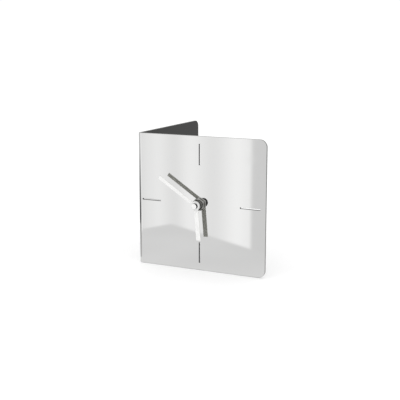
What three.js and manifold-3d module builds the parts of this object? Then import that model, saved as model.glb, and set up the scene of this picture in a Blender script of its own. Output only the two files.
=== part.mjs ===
// A clock made from one folded sheet of polished steel. The front leaf is the dial, with a slot at each quarter
// hour, and the rear leaf goes on a wall. A quartz movement hangs behind the dial on its threaded bush.
//
// Part frame: millimetres, +Z up, the dial faces -Y. The origin is the middle of the rear leaf's outer face.
// Clockwork frame: x to the right and y up as the dial is read, z out of the dial, and z = 0 on the dial's face.

import * as THREE from "three";
import { mergeVertices } from "three/addons/utils/BufferGeometryUtils.js";
import Module from "manifold-3d";

const wasm = await Module();
wasm.setup();

// ---------- driving dimensions ----------

// Folded case
const leafHeight = 120;
const dialWidth = 124; // across the dial, from the rear leaf's outer face
const rearWidth = 124; // from the dial's face to the rear leaf's free edge
const sheetThickness = 2;
const bendOuterRadius = 4;
const leafCornerRadius = 6.5;
const slotLength = 18.5;
const slotWidth = 1.2;
const uprightSlotMargin = 6.8; // 12 and 6 o'clock slots, from the top and bottom edges
const levelSlotMargin = 5; // 3 and 9 o'clock slots, from the side edges
const wallHoleRadius = 2.25;
const wallHoleSpacing = 80;

// Time that the hands show
const shownHours = 5;
const shownMinutes = 50.5;

// Gaps
const restGap = 0.15; // between faces that rest on each other
const pressGap = 0.05; // between a shaft and what is pressed on it
const runGap = 0.08; // between a shaft and what turns on it
const wheelGap = 0.4; // between wheels on neighbouring levels

// Fixing at the dial
const bushRadius = 4; // M8 thread
const bushStandsOut = 5.6; // above the dial's face
const bushFlangeRadius = bushRadius + 1.5;
const bushFlangeThickness = 0.6;
const gasketRadius = bushRadius + 5;
const gasketThickness = 1;
const washerRadius = bushRadius + 1.8;
const washerThickness = 0.5;
const nutAcrossFlats = 2 * (bushRadius + 1);
const nutThickness = 2;

// Hands
const hourHandLength = 31;
const hourHandWidth = 4.2;
const minuteHandLength = 42;
const minuteHandWidth = 3.2;
const handThickness = 0.4;
const handBossRadius = 4.1;
const hourBossHeight = 1.6;
const hourBladeRise = 0.96; // the blade's back above the boss's back
const minuteBossHeight = 0.6;
const minuteBladeRise = 0.1;
const bushToHands = 0.8;
const handToHand = 0.3;
const tubeEndGap = 0.3; // between the ends of the arbor, the minute tube and the closed nut
const handNutHeight = 2.6;
const handNutWall = 0.7;

// Movement case
const movementWidth = 56;
const movementHeight = 56;
const caseCornerRadius = 3;
const coverCornerRadius = 2;
const bayCornerRadius = 1;
const caseWall = 1.3;
const frontCaseDepth = 8.7;
const backCoverDepth = 6.4;
const coverWall = 1.2;
const postRadius = 1.5;
const bayWall = 0.8;
const bayTopWall = 1.1;
const bayEndWall = 1.4;
const bayDepthShare = 0.8; // of the cell's radius, behind its axis
const knobGap = 0.3; // between the knob and the back cover

// Wheel train
const wheelThickness = 0.85;
const pinRadius = 0.35;
const arborRadius = 0.65;
const tubeWall = 0.95;
const minuteTubeRadius = arborRadius + runGap + tubeWall;
const hourPipeRadius = minuteTubeRadius + runGap + tubeWall;
const hubWall = 0.5;
const pinBite = 0.9; // how far a pin goes into the case wall or the bridge
const bridgeThickness = 1;
const circuitBoardThickness = 0.8;

// Battery cell, AA size
const cellRadius = 7.1;
const cellLength = 49.3;
const cellNubRadius = 2.75;
const cellNubLength = 1;
const cellRoom = 0.1; // between the cell and the long walls of its bay

// Setting knob
const knobRadius = 5;
const knobThickness = 2.5;
const knobStemRadius = 0.9;
const knobFlutes = 12;
const knobFluteRadius = 0.55;

// Rotor, stator and coil
const magnetRadius = 3;
const magnetHeight = 3.2;
const magnetAirGap = 0.5;
const statorThickness = 0.8;
const statorArmWidth = 3;
const coreWidth = 1.5;
const coreThickness = 0.7;
const bobbinLength = 10;
const bobbinFlangeRadius = 3.4;
const bobbinFlangeThickness = 0.7;
const bobbinTubeRadius = 1.6;
const coilRadius = 3;
const coilRise = 11.8; // the coil's axis above the rotor's

const roundSteps = 24;
const fineSteps = 36;

// ---------- materials ----------

const metal = (color, roughness) => new THREE.MeshStandardMaterial({ color, roughness, metalness: 1 });
const plastic = (color, roughness) => new THREE.MeshStandardMaterial({ color, roughness, metalness: 0 });

const polishedSteel = metal(0xdcdcdb, 0.06);
const platedBrass = metal(0x8d8c88, 0.3);
const pinSteel = metal(0xb5b5b8, 0.25);
const laminationSteel = metal(0x77787c, 0.45);
const copper = metal(0xb5652f, 0.35);
const springBrass = metal(0xcbb26a, 0.35);
const magnetBlack = metal(0x3b3c40, 0.5);
const whitePaint = plastic(0xf4f4f2, 0.35);
const blackPlastic = plastic(0x1b1b1c, 0.55);
const naturalPlastic = plastic(0xe6e3d8, 0.5);
const blackRubber = plastic(0x161616, 0.85);
const boardGreen = plastic(0x2f6044, 0.6);
const chipEpoxy = plastic(0x101011, 0.4);
const cellSleeve = plastic(0x5b6266, 0.4);

// ---------- solids ----------

// A closed BufferGeometry as a solid that can be joined and cut.
function toSolid(geometry) {
  const bare = geometry.clone();
  bare.deleteAttribute("normal");
  bare.deleteAttribute("uv");
  const merged = mergeVertices(bare, 1e-4);
  return new wasm.Manifold(
    new wasm.Mesh({
      numProp: 3,
      vertProperties: Float32Array.from(merged.attributes.position.array),
      triVerts: Uint32Array.from(merged.index.array),
    }),
  );
}

// A named mesh from a solid.
function part(name, solid, material) {
  const { numProp, numVert, vertProperties, triVerts } = solid.getMesh();
  const position = new Float32Array(numVert * 3);
  for (let i = 0; i < numVert; i++) position.set(vertProperties.subarray(i * numProp, i * numProp + 3), i * 3);
  const geometry = new THREE.BufferGeometry();
  geometry.setAttribute("position", new THREE.BufferAttribute(position, 3));
  geometry.setIndex(new THREE.BufferAttribute(triVerts, 1));
  const mesh = new THREE.Mesh(geometry, material);
  mesh.name = name;
  return mesh;
}

// A flat shape with height from z = low to z = high.
function prism(shape, low, high, curveSegments = 8) {
  const geometry = new THREE.ExtrudeGeometry(shape, { depth: high - low, bevelEnabled: false, curveSegments });
  return toSolid(geometry.translate(0, 0, low));
}

// A block between two corners.
function block(x0, x1, y0, y1, z0, z1) {
  const geometry = new THREE.BoxGeometry(x1 - x0, y1 - y0, z1 - z0);
  return toSolid(geometry.translate((x0 + x1) / 2, (y0 + y1) / 2, (z0 + z1) / 2));
}

// A cylinder along z over the point at.
function rod(radius, low, high, at = { x: 0, y: 0 }, steps = roundSteps) {
  const geometry = new THREE.CylinderGeometry(radius, radius, high - low, steps);
  return toSolid(geometry.rotateX(Math.PI / 2).translate(at.x, at.y, (low + high) / 2));
}

// A cylinder along x, centred at y and z.
function barrel(radius, low, high, y, z, steps = roundSteps) {
  const geometry = new THREE.CylinderGeometry(radius, radius, high - low, steps);
  return toSolid(geometry.rotateZ(Math.PI / 2).translate((low + high) / 2, y, z));
}

function roundedRectangle(x0, x1, y0, y1, radius) {
  const shape = new THREE.Shape();
  shape.moveTo(x0 + radius, y0);
  shape.lineTo(x1 - radius, y0).absarc(x1 - radius, y0 + radius, radius, -Math.PI / 2, 0);
  shape.lineTo(x1, y1 - radius).absarc(x1 - radius, y1 - radius, radius, 0, Math.PI / 2);
  shape.lineTo(x0 + radius, y1).absarc(x0 + radius, y1 - radius, radius, Math.PI / 2, Math.PI);
  shape.lineTo(x0, y0 + radius).absarc(x0 + radius, y0 + radius, radius, Math.PI, 1.5 * Math.PI);
  return shape;
}

const polar = (length, degrees, from = { x: 0, y: 0 }) => ({
  x: from.x + length * Math.cos(THREE.MathUtils.degToRad(degrees)),
  y: from.y + length * Math.sin(THREE.MathUtils.degToRad(degrees)),
});

// ---------- gears ----------

// A gear is { teeth, module, share, at, phase }: share is the tooth's part of the pitch on the pitch circle, at is
// the axis, and phase is the angle in degrees of one tooth's middle.
const addendum = 0.75;
const dedendum = 1.1;
const wheelShare = 0.42;
const pinionShare = 0.36;
const tipTaper = 0.5; // a tooth's tip against its width on the pitch circle
const rootFlare = 1.25; // and its root against that width

const pitchRadius = (gear) => (gear.teeth * gear.module) / 2;
const tipRadius = (gear) => pitchRadius(gear) + addendum * gear.module;
const rootRadius = (gear) => pitchRadius(gear) - dedendum * gear.module;

function gearSolid(gear, low, high) {
  const pitch = (2 * Math.PI) / gear.teeth;
  const halfWidth = (gear.share * pitch) / 2;
  const corners = [
    [rootRadius(gear), -halfWidth * rootFlare],
    [tipRadius(gear), -halfWidth * tipTaper],
    [tipRadius(gear), halfWidth * tipTaper],
    [rootRadius(gear), halfWidth * rootFlare],
  ];
  const points = [];
  for (let tooth = 0; tooth < gear.teeth; tooth++) {
    const middle = THREE.MathUtils.degToRad(gear.phase) + tooth * pitch;
    for (const [radius, turn] of corners) {
      points.push(new THREE.Vector2(radius * Math.cos(middle + turn), radius * Math.sin(middle + turn)));
    }
  }
  return prism(new THREE.Shape(points), low, high).translate(gear.at.x, gear.at.y, 0);
}

// The phase that puts a gap of the driven gear round the driver's tooth on their line of centres.
function meshedPhase(driver, driven) {
  const toDriven = THREE.MathUtils.radToDeg(Math.atan2(driven.at.y - driver.at.y, driven.at.x - driver.at.x));
  const driverPitches = ((toDriven - driver.phase) * driver.teeth) / 360;
  return toDriven + 180 - ((0.5 - driverPitches) * 360) / driven.teeth;
}

function meshWith(driver, driven) {
  driven.phase = meshedPhase(driver, driven);
  return driven;
}

const centreDistance = (a, b, module) => ((a + b) * module) / 2;

// ---------- layout across the movement ----------

const centre = { x: 0, y: 0 };

// Tooth counts. Rotor to seconds wheel is 30 to 1, seconds to centre wheel 60 to 1, minute to hour 12 to 1.
const teeth = {
  rotorPinion: 8,
  intermediateWheel: 48,
  intermediatePinion: 8,
  secondsWheel: 40,
  secondsPinion: 8,
  thirdWheel: 60,
  thirdPinion: 8,
  centreWheel: 64,
  minutePinion: 12,
  motionWheel: 36,
  motionPinion: 10,
  hourWheel: 40,
  settingPinion: 12,
};

// Two pairs that share a centre distance get one module from the other.
const motionModule = 0.4;
const motionDistance = centreDistance(teeth.minutePinion, teeth.motionWheel, motionModule);
const hourModule = (2 * motionDistance) / (teeth.motionPinion + teeth.hourWheel);
const thirdDistance = 12;
const thirdModule = (2 * thirdDistance) / (teeth.secondsPinion + teeth.thirdWheel);
const centreModule = (2 * thirdDistance) / (teeth.thirdPinion + teeth.centreWheel);
const secondsModule = 0.4;
const secondsDistance = centreDistance(teeth.intermediatePinion, teeth.secondsWheel, secondsModule);
const rotorModule = 0.35;
const rotorDistance = centreDistance(teeth.rotorPinion, teeth.intermediateWheel, rotorModule);

const motionAt = polar(motionDistance, 200);
const settingAt = polar(centreDistance(teeth.motionWheel, teeth.settingPinion, motionModule), 170, motionAt);
const thirdAt = polar(thirdDistance, 115);
const intermediateAt = polar(secondsDistance, 40);
const rotorAt = polar(rotorDistance, 15, intermediateAt);

const wheel = (count, module, at) => ({ teeth: count, module, share: wheelShare, at, phase: 0 });
const pinion = (count, module, at) => ({ teeth: count, module, share: pinionShare, at, phase: 0 });

const minutePinionGear = pinion(teeth.minutePinion, motionModule, centre);
const motionWheelGear = meshWith(minutePinionGear, wheel(teeth.motionWheel, motionModule, motionAt));
const motionPinionGear = pinion(teeth.motionPinion, hourModule, motionAt);
const hourWheelGear = meshWith(motionPinionGear, wheel(teeth.hourWheel, hourModule, centre));
const settingPinionGear = meshWith(motionWheelGear, pinion(teeth.settingPinion, motionModule, settingAt));
const secondsWheelGear = wheel(teeth.secondsWheel, secondsModule, centre);
const secondsPinionGear = pinion(teeth.secondsPinion, thirdModule, centre);
const thirdWheelGear = meshWith(secondsPinionGear, wheel(teeth.thirdWheel, thirdModule, thirdAt));
const thirdPinionGear = pinion(teeth.thirdPinion, centreModule, thirdAt);
const centreWheelGear = meshWith(thirdPinionGear, wheel(teeth.centreWheel, centreModule, centre));
const intermediatePinionGear = meshWith(
  secondsWheelGear,
  pinion(teeth.intermediatePinion, secondsModule, intermediateAt),
);
const intermediateWheelGear = wheel(teeth.intermediateWheel, rotorModule, intermediateAt);
const rotorPinionGear = meshWith(intermediateWheelGear, pinion(teeth.rotorPinion, rotorModule, rotorAt));

// ---------- levels through the movement, from the dial back ----------

const dialBack = -sheetThickness;
const gasketFront = dialBack - restGap;
const caseFront = gasketFront - gasketThickness - restGap;
const caseFloor = caseFront - caseWall;
const flangeFront = caseFloor - restGap;

// A level holds wheels of one thickness: { front, back }.
const levelBehind = (z, gap = wheelGap) => ({ front: z - gap, back: z - gap - wheelThickness });
const hourLevel = levelBehind(flangeFront - bushFlangeThickness, 0.3);
const motionLevel = levelBehind(hourLevel.back);
const clutchThickness = 0.3;
const centreLevel = levelBehind(motionLevel.back, clutchThickness + 2 * restGap);
const thirdLevel = levelBehind(centreLevel.back);
const secondsLevel = levelBehind(thirdLevel.back);
const intermediateLevel = levelBehind(secondsLevel.back);
const bridgeFront = intermediateLevel.back - wheelGap;
const bridgeBack = bridgeFront - bridgeThickness;
const boardFront = bridgeBack - restGap;
const boardBack = boardFront - circuitBoardThickness;
const caseRear = caseFront - frontCaseDepth;
const coverFront = caseRear - restGap;
const coverRear = coverFront - backCoverDepth;
const pinFront = caseFloor + pinBite;
const pinBack = bridgeFront - pinBite;

// Levels in front of the dial
const washerBack = restGap;
const nutBack = washerBack + washerThickness + restGap;
const hourBossBack = bushStandsOut + bushToHands;
const hourBossFront = hourBossBack + hourBossHeight;
const hourBladeBack = hourBossBack + hourBladeRise;
const minuteBossBack = hourBossFront + handToHand;
const minuteBossFront = minuteBossBack + minuteBossHeight;
const minuteBladeBack = minuteBossBack + minuteBladeRise;
const handNutBack = minuteBossFront + restGap;
const handNutFront = handNutBack + handNutHeight;
const minuteTubeFront = handNutFront - handNutWall - tubeEndGap;
const arborFront = minuteTubeFront - tubeEndGap;

// Battery bay, along the foot of the movement
const halfMovement = movementWidth / 2;
const movementFoot = -movementHeight / 2;
const movementTop = movementHeight / 2;
const bayFoot = movementFoot + bayWall;
const cellAxisY = bayFoot + cellRoom + cellRadius;
const bayTop = cellAxisY + cellRadius + cellRoom;
const bayWallTop = bayTop + bayTopWall;
const cellAxisZ = caseFront - bayWall - restGap - cellRadius;
const bayRear = cellAxisZ - bayDepthShare * cellRadius;
const bayHalfLength = halfMovement - bayEndWall;

// ---------- the folded case ----------

// One sheet: the dial leaf and the rear leaf, joined by the bend. Drawn in plan in the part frame, then cut.
function foldedCase() {
  const face = -rearWidth / 2;
  const innerRadius = bendOuterRadius - sheetThickness;
  const bendY = face + bendOuterRadius;
  const plan = new THREE.Shape();
  plan.moveTo(dialWidth, face + sheetThickness);
  plan.lineTo(bendOuterRadius, face + sheetThickness);
  plan.absarc(bendOuterRadius, bendY, innerRadius, 1.5 * Math.PI, Math.PI, true);
  plan.lineTo(sheetThickness, rearWidth / 2).lineTo(0, rearWidth / 2).lineTo(0, bendY);
  plan.absarc(bendOuterRadius, bendY, bendOuterRadius, Math.PI, 1.5 * Math.PI, false);
  plan.lineTo(dialWidth, face);
  let sheet = prism(plan, -leafHeight / 2, leafHeight / 2, 12);

  // The free corners are rounded: each leaf is cut to an outline seen square on to it.
  const past = 2 * leafCornerRadius;
  const outline = (length) =>
    roundedRectangle(-past, length, -leafHeight / 2, leafHeight / 2, leafCornerRadius);
  const dialOutline = prism(outline(dialWidth), 0, dialWidth + rearWidth);
  const rearOutline = prism(outline(rearWidth), 0, dialWidth + rearWidth);
  sheet = sheet.intersect(dialOutline.rotate([90, 0, 0]).translate([0, rearWidth, 0]));
  sheet = sheet.intersect(rearOutline.rotate([90, 0, 90]).translate([-dialWidth, face, 0]));

  // Quarter-hour slots, the bush's hole and the two wall holes
  const middle = dialWidth / 2;
  const slots = [
    [middle, leafHeight / 2 - uprightSlotMargin - slotLength / 2, slotWidth, slotLength],
    [middle, -leafHeight / 2 + uprightSlotMargin + slotLength / 2, slotWidth, slotLength],
    [levelSlotMargin + slotLength / 2, 0, slotLength, slotWidth],
    [dialWidth - levelSlotMargin - slotLength / 2, 0, slotLength, slotWidth],
  ];
  for (const [x, z, wide, high] of slots) {
    sheet = sheet.subtract(
      block(x - wide / 2, x + wide / 2, face - 1, face + sheetThickness + 1, z - high / 2, z + high / 2),
    );
  }
  const bushHole = rod(bushRadius + runGap, -sheetThickness - 1, 1, centre, fineSteps);
  sheet = sheet.subtract(bushHole.rotate([90, 0, 0]).translate([middle, face, 0]));
  for (const side of [-1, 1]) {
    const hole = barrel(wallHoleRadius, -1, sheetThickness + 1, 0, (side * wallHoleSpacing) / 2);
    sheet = sheet.subtract(hole);
  }
  return part("folded_case", sheet, polishedSteel);
}

// ---------- fixing at the dial ----------

function fixings() {
  const bush = rod(bushRadius, flangeFront, bushStandsOut, centre, fineSteps)
    .add(rod(bushFlangeRadius, flangeFront - bushFlangeThickness, flangeFront, centre, fineSteps))
    .subtract(rod(hourPipeRadius + runGap, flangeFront - 2, bushStandsOut + 1));
  const gasket = rod(gasketRadius, gasketFront - gasketThickness, gasketFront, centre, fineSteps).subtract(
    rod(bushRadius + runGap, gasketFront - 2, gasketFront + 1, centre, fineSteps),
  );
  const washer = rod(washerRadius, washerBack, washerBack + washerThickness, centre, fineSteps).subtract(
    rod(bushRadius + runGap, washerBack - 1, washerBack + 1, centre, fineSteps),
  );
  const nutCornerRadius = nutAcrossFlats / Math.sqrt(3);
  const nut = rod(nutCornerRadius, nutBack, nutBack + nutThickness, centre, 6).subtract(
    rod(bushRadius + pressGap, nutBack - 1, nutBack + nutThickness + 1, centre, fineSteps),
  );
  return [
    part("threaded_bush", bush, platedBrass),
    part("rubber_gasket", gasket, blackRubber),
    part("dial_washer", washer, platedBrass),
    part("hex_nut", nut, platedBrass),
  ];
}

// ---------- hands ----------

// A straight blade with a round boss, along +x before it is turned to its clock angle.
function hand(length, width, bladeBack, bossBack, bossFront, boreRadius) {
  const blade = block(0, length, -width / 2, width / 2, bladeBack, bladeBack + handThickness);
  return blade
    .add(rod(handBossRadius, bossBack, bossFront, centre, fineSteps))
    .subtract(rod(boreRadius, bossBack - 1, bossFront + 1));
}

const clockTurn = (solid, clockDegrees) => solid.rotate([0, 0, 90 - clockDegrees]);

function hands() {
  const hourDegrees = (shownHours + shownMinutes / 60) * 30;
  const minuteDegrees = shownMinutes * 6;
  const hourHand = hand(
    hourHandLength,
    hourHandWidth,
    hourBladeBack,
    hourBossBack,
    hourBossFront,
    hourPipeRadius + pressGap,
  );
  const minuteHand = hand(
    minuteHandLength,
    minuteHandWidth,
    minuteBladeBack,
    minuteBossBack,
    minuteBossFront,
    minuteTubeRadius + pressGap,
  );
  const nutInside = minuteTubeRadius + pressGap;
  const nut = rod(nutInside + handNutWall, handNutBack, handNutFront, centre, fineSteps).subtract(
    rod(nutInside, handNutBack - 1, handNutFront - handNutWall),
  );
  return [
    part("hour_hand", clockTurn(hourHand, hourDegrees), whitePaint),
    part("minute_hand", clockTurn(minuteHand, minuteDegrees), whitePaint),
    part("hand_nut", nut, whitePaint),
  ];
}

// ---------- movement case ----------

// The posts inside the front case that carry the bridge
const postFromCorner = 4.5;
const postsAt = [
  { x: -halfMovement + postFromCorner, y: movementTop - postFromCorner },
  { x: halfMovement - postFromCorner, y: bayWallTop + postFromCorner },
];

function movementCase() {
  const trainFoot = bayWallTop + 0.2;
  let front = prism(
    roundedRectangle(-halfMovement, halfMovement, movementFoot, movementTop, caseCornerRadius),
    caseRear,
    caseFront,
    4,
  );
  front = front.add(
    prism(
      roundedRectangle(-halfMovement, halfMovement, movementFoot, bayWallTop, bayCornerRadius),
      bayRear,
      caseRear + 1,
      4,
    ),
  );
  const trainInside = halfMovement - caseWall;
  front = front.subtract(
    block(-trainInside, trainInside, trainFoot, movementTop - caseWall, caseRear - 1, caseFloor),
  );
  front = front.subtract(
    block(-bayHalfLength, bayHalfLength, bayFoot, bayTop, bayRear - 1, caseFront - bayWall),
  );
  for (const at of postsAt) {
    front = front.add(rod(postRadius, bridgeFront + restGap, caseFloor + 0.5, at, 16));
  }
  front = front.subtract(rod(bushRadius + pressGap, caseFloor - 1, caseFront + 1, centre, fineSteps));
  for (const at of [motionAt, thirdAt, rotorAt]) {
    front = front.subtract(rod(pinRadius + pressGap, caseFloor - 1, pinFront + restGap, at, 12));
  }

  let cover = prism(
    roundedRectangle(-halfMovement, halfMovement, bayWallTop + restGap, movementTop, coverCornerRadius),
    coverRear,
    coverFront,
    4,
  );
  cover = cover.subtract(
    block(
      -halfMovement + coverWall,
      halfMovement - coverWall,
      bayWallTop + restGap + coverWall,
      movementTop - coverWall,
      coverRear + coverWall,
      coverFront + 1,
    ),
  );
  cover = cover.subtract(rod(knobStemRadius + runGap, coverRear - 1, coverFront, settingAt, 16));

  const bridgeEdge = trainInside - coverWall;
  let bridge = block(-bridgeEdge, bridgeEdge, trainFoot + 1.5, movementTop - 3.5, bridgeBack, bridgeFront);
  for (const at of [thirdAt, intermediateAt, rotorAt]) {
    bridge = bridge.subtract(rod(pinRadius + pressGap, pinBack - restGap, bridgeFront + 1, at, 12));
  }
  bridge = bridge.subtract(rod(arborRadius + runGap, pinBack - restGap, bridgeFront + 1, centre, 16));
  bridge = bridge.subtract(rod(knobStemRadius + runGap, bridgeBack - 1, bridgeFront + 1, settingAt, 16));
  return [
    part("movement_front_case", front, blackPlastic),
    part("movement_back_cover", cover, blackPlastic),
    part("train_bridge", bridge, naturalPlastic),
  ];
}

function pins() {
  const motionPinBack = centreLevel.front + restGap;
  const intermediatePinFront = secondsLevel.front + wheelGap;
  const pin = (back, front, at) => rod(pinRadius, back, front, at, 12);
  return [
    part("motion_work_pin", pin(motionPinBack, pinFront, motionAt), pinSteel),
    part("third_wheel_pin", pin(pinBack, pinFront, thirdAt), pinSteel),
    part("intermediate_wheel_pin", pin(pinBack, intermediatePinFront, intermediateAt), pinSteel),
    part("rotor_pin", pin(pinBack, pinFront, rotorAt), pinSteel),
  ];
}

// ---------- wheels ----------

// A wheel and its pinion on two levels, moulded as one with a hub between them and a bore for a pin.
function wheelOnPin(wheelGear, wheelLevel, pinionGear, pinionLevel) {
  const front = Math.max(wheelLevel.front, pinionLevel.front);
  const back = Math.min(wheelLevel.back, pinionLevel.back);
  return gearSolid(wheelGear, wheelLevel.back, wheelLevel.front)
    .add(gearSolid(pinionGear, pinionLevel.back, pinionLevel.front))
    .add(rod(rootRadius(pinionGear), back, front, wheelGear.at, 16))
    .subtract(rod(pinRadius + runGap, back - 1, front + 1, wheelGear.at, 12));
}

function motionWork() {
  const minuteTubeBack = centreLevel.back - restGap;
  const minuteTube = rod(minuteTubeRadius, minuteTubeBack, minuteTubeFront)
    .add(gearSolid(minutePinionGear, motionLevel.back, motionLevel.front))
    .subtract(rod(arborRadius + runGap, minuteTubeBack - 1, minuteTubeFront + 1, centre, 16));
  const hourWheel = gearSolid(hourWheelGear, hourLevel.back, hourLevel.front)
    .add(rod(hourPipeRadius, hourLevel.back, hourBossFront))
    .subtract(rod(minuteTubeRadius + runGap, hourLevel.back - 1, hourBossFront + 1));
  const motionWheel = wheelOnPin(motionWheelGear, motionLevel, motionPinionGear, hourLevel);
  return [
    part("minute_tube", minuteTube, blackPlastic),
    part("motion_work_wheel", motionWheel, naturalPlastic),
    part("hour_wheel", hourWheel, blackPlastic),
  ];
}

function goingTrain() {
  const arborBack = pinBack;
  const seconds = rod(arborRadius, arborBack, arborFront, centre, 16)
    .add(gearSolid(secondsPinionGear, thirdLevel.back, thirdLevel.front))
    .add(rod(rootRadius(secondsPinionGear), secondsLevel.back, thirdLevel.front, centre, 16))
    .add(gearSolid(secondsWheelGear, secondsLevel.back, secondsLevel.front));
  const centreWheel = gearSolid(centreWheelGear, centreLevel.back, centreLevel.front).subtract(
    rod(minuteTubeRadius + pressGap, centreLevel.back - 1, centreLevel.front + 1),
  );
  const thirdWheel = wheelOnPin(thirdWheelGear, thirdLevel, thirdPinionGear, centreLevel);
  const intermediateWheel = wheelOnPin(
    intermediateWheelGear,
    intermediateLevel,
    intermediatePinionGear,
    secondsLevel,
  );
  const clutchRadius = minuteTubeRadius + 1.8;
  const clutch = rod(clutchRadius, centreLevel.front + restGap, motionLevel.back - restGap).subtract(
    rod(minuteTubeRadius + runGap, centreLevel.front - 1, motionLevel.back + 1),
  );
  return [
    part("seconds_wheel", seconds, naturalPlastic),
    part("third_wheel", thirdWheel, naturalPlastic),
    part("centre_wheel", centreWheel, naturalPlastic),
    part("clutch_spring", clutch, springBrass),
    part("intermediate_wheel", intermediateWheel, naturalPlastic),
  ];
}

// ---------- setting knob ----------

function setting() {
  const knobFront = coverRear - knobGap;
  const stemFront = caseFloor - 0.6;
  let knob = rod(knobRadius, knobFront - knobThickness, knobFront, settingAt, fineSteps).add(
    rod(knobStemRadius, knobFront - 1, stemFront, settingAt, 16),
  );
  for (let flute = 0; flute < knobFlutes; flute++) {
    const at = polar(knobRadius, (flute * 360) / knobFlutes, settingAt);
    knob = knob.subtract(rod(knobFluteRadius, knobFront - knobThickness - 1, knobFront + 0.1, at, 8));
  }
  const settingPinion = gearSolid(settingPinionGear, motionLevel.back, motionLevel.front).subtract(
    rod(knobStemRadius + pressGap, motionLevel.back - 1, motionLevel.front + 1, settingAt, 16),
  );
  return [
    part("setting_knob", knob, blackPlastic),
    part("setting_pinion", settingPinion, naturalPlastic),
  ];
}

// ---------- motor ----------

function motor() {
  const magnetBack = secondsLevel.back + 0.1;
  const magnetFront = magnetBack + magnetHeight;
  const magnetBore = pinRadius + runGap + hubWall;
  const magnet = rod(magnetRadius, magnetBack, magnetFront, rotorAt).subtract(
    rod(magnetBore + pressGap, magnetBack - 1, magnetFront + 1, rotorAt, 16),
  );
  const rotorHub = rod(magnetBore, intermediateLevel.back, magnetFront, rotorAt, 16)
    .add(gearSolid(rotorPinionGear, intermediateLevel.back, intermediateLevel.front))
    .subtract(rod(pinRadius + runGap, intermediateLevel.back - 1, magnetFront + 1, rotorAt, 12));

  const statorFront = magnetFront - (magnetHeight - statorThickness) / 2;
  const statorBack = statorFront - statorThickness;
  const armOutside = bobbinLength / 2 + restGap + statorArmWidth;
  const yokeHalf = magnetRadius + magnetAirGap + 1.2;
  const coilY = rotorAt.y + coilRise;
  let stator = block(
    rotorAt.x - armOutside,
    rotorAt.x + armOutside,
    rotorAt.y - yokeHalf,
    rotorAt.y + yokeHalf,
    statorBack,
    statorFront,
  );
  for (const side of [-1, 1]) {
    const inner = rotorAt.x + side * (armOutside - statorArmWidth);
    const outer = rotorAt.x + side * armOutside;
    const low = Math.min(inner, outer);
    const high = Math.max(inner, outer);
    stator = stator.add(block(low, high, rotorAt.y, coilY + coreWidth, statorBack, statorFront));
  }
  stator = stator.subtract(rod(magnetRadius + magnetAirGap, statorBack - 1, statorFront + 1, rotorAt));

  const coreBack = statorFront + restGap;
  const coilZ = coreBack + coreThickness / 2;
  const halfCore = armOutside - 0.5;
  const core = block(
    rotorAt.x - halfCore,
    rotorAt.x + halfCore,
    coilY - coreWidth / 2,
    coilY + coreWidth / 2,
    coreBack,
    coreBack + coreThickness,
  );
  const bobbinLow = rotorAt.x - bobbinLength / 2;
  const bobbinHigh = rotorAt.x + bobbinLength / 2;
  const flangeAt = (low) =>
    barrel(bobbinFlangeRadius, low, low + bobbinFlangeThickness, coilY, coilZ);
  let bobbin = barrel(bobbinTubeRadius, bobbinLow, bobbinHigh, coilY, coilZ, 16);
  bobbin = bobbin.add(flangeAt(bobbinLow)).add(flangeAt(bobbinHigh - bobbinFlangeThickness));
  bobbin = bobbin.subtract(
    block(
      bobbinLow - 1,
      bobbinHigh + 1,
      coilY - coreWidth / 2 - restGap,
      coilY + coreWidth / 2 + restGap,
      coreBack - restGap,
      coreBack + coreThickness + restGap,
    ),
  );
  const windingLow = bobbinLow + bobbinFlangeThickness + restGap;
  const windingHigh = bobbinHigh - bobbinFlangeThickness - restGap;
  const winding = barrel(coilRadius, windingLow, windingHigh, coilY, coilZ).subtract(
    barrel(bobbinTubeRadius + restGap, windingLow - 1, windingHigh + 1, coilY, coilZ, 16),
  );
  return [
    part("rotor_magnet", magnet, magnetBlack),
    part("rotor_pinion", rotorHub, naturalPlastic),
    part("stator", stator, laminationSteel),
    part("coil_core", core, laminationSteel),
    part("coil_bobbin", bobbin, naturalPlastic),
    part("coil_winding", winding, copper),
  ];
}

// ---------- circuit ----------

function circuit() {
  const boardLeft = -halfMovement + 5;
  const boardRight = 6;
  const boardFoot = 9;
  const boardTop = movementTop - 4;
  const board = block(boardLeft, boardRight, boardFoot, boardTop, boardBack, boardFront);
  const chipRadius = 2.4;
  const domeTopRadius = 1.45;
  const chipHeight = 0.9;
  const chipAt = { x: boardLeft + 8, y: boardFoot + 6 };
  const dome = new THREE.CylinderGeometry(domeTopRadius, chipRadius, chipHeight, 20);
  dome.rotateX(-Math.PI / 2).translate(chipAt.x, chipAt.y, boardBack - restGap - chipHeight / 2);
  const crystalRadius = 0.75;
  const crystalLength = 6;
  const crystalLeft = boardRight - 2 - crystalLength;
  const crystalZ = boardBack - restGap - crystalRadius;
  const crystalRight = crystalLeft + crystalLength;
  const crystal = barrel(crystalRadius, crystalLeft, crystalRight, boardTop - 3, crystalZ, 16);
  return [
    part("circuit_board", board, boardGreen),
    part("clock_chip", toSolid(dome), chipEpoxy),
    part("quartz_crystal", crystal, pinSteel),
  ];
}

// ---------- battery ----------

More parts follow.
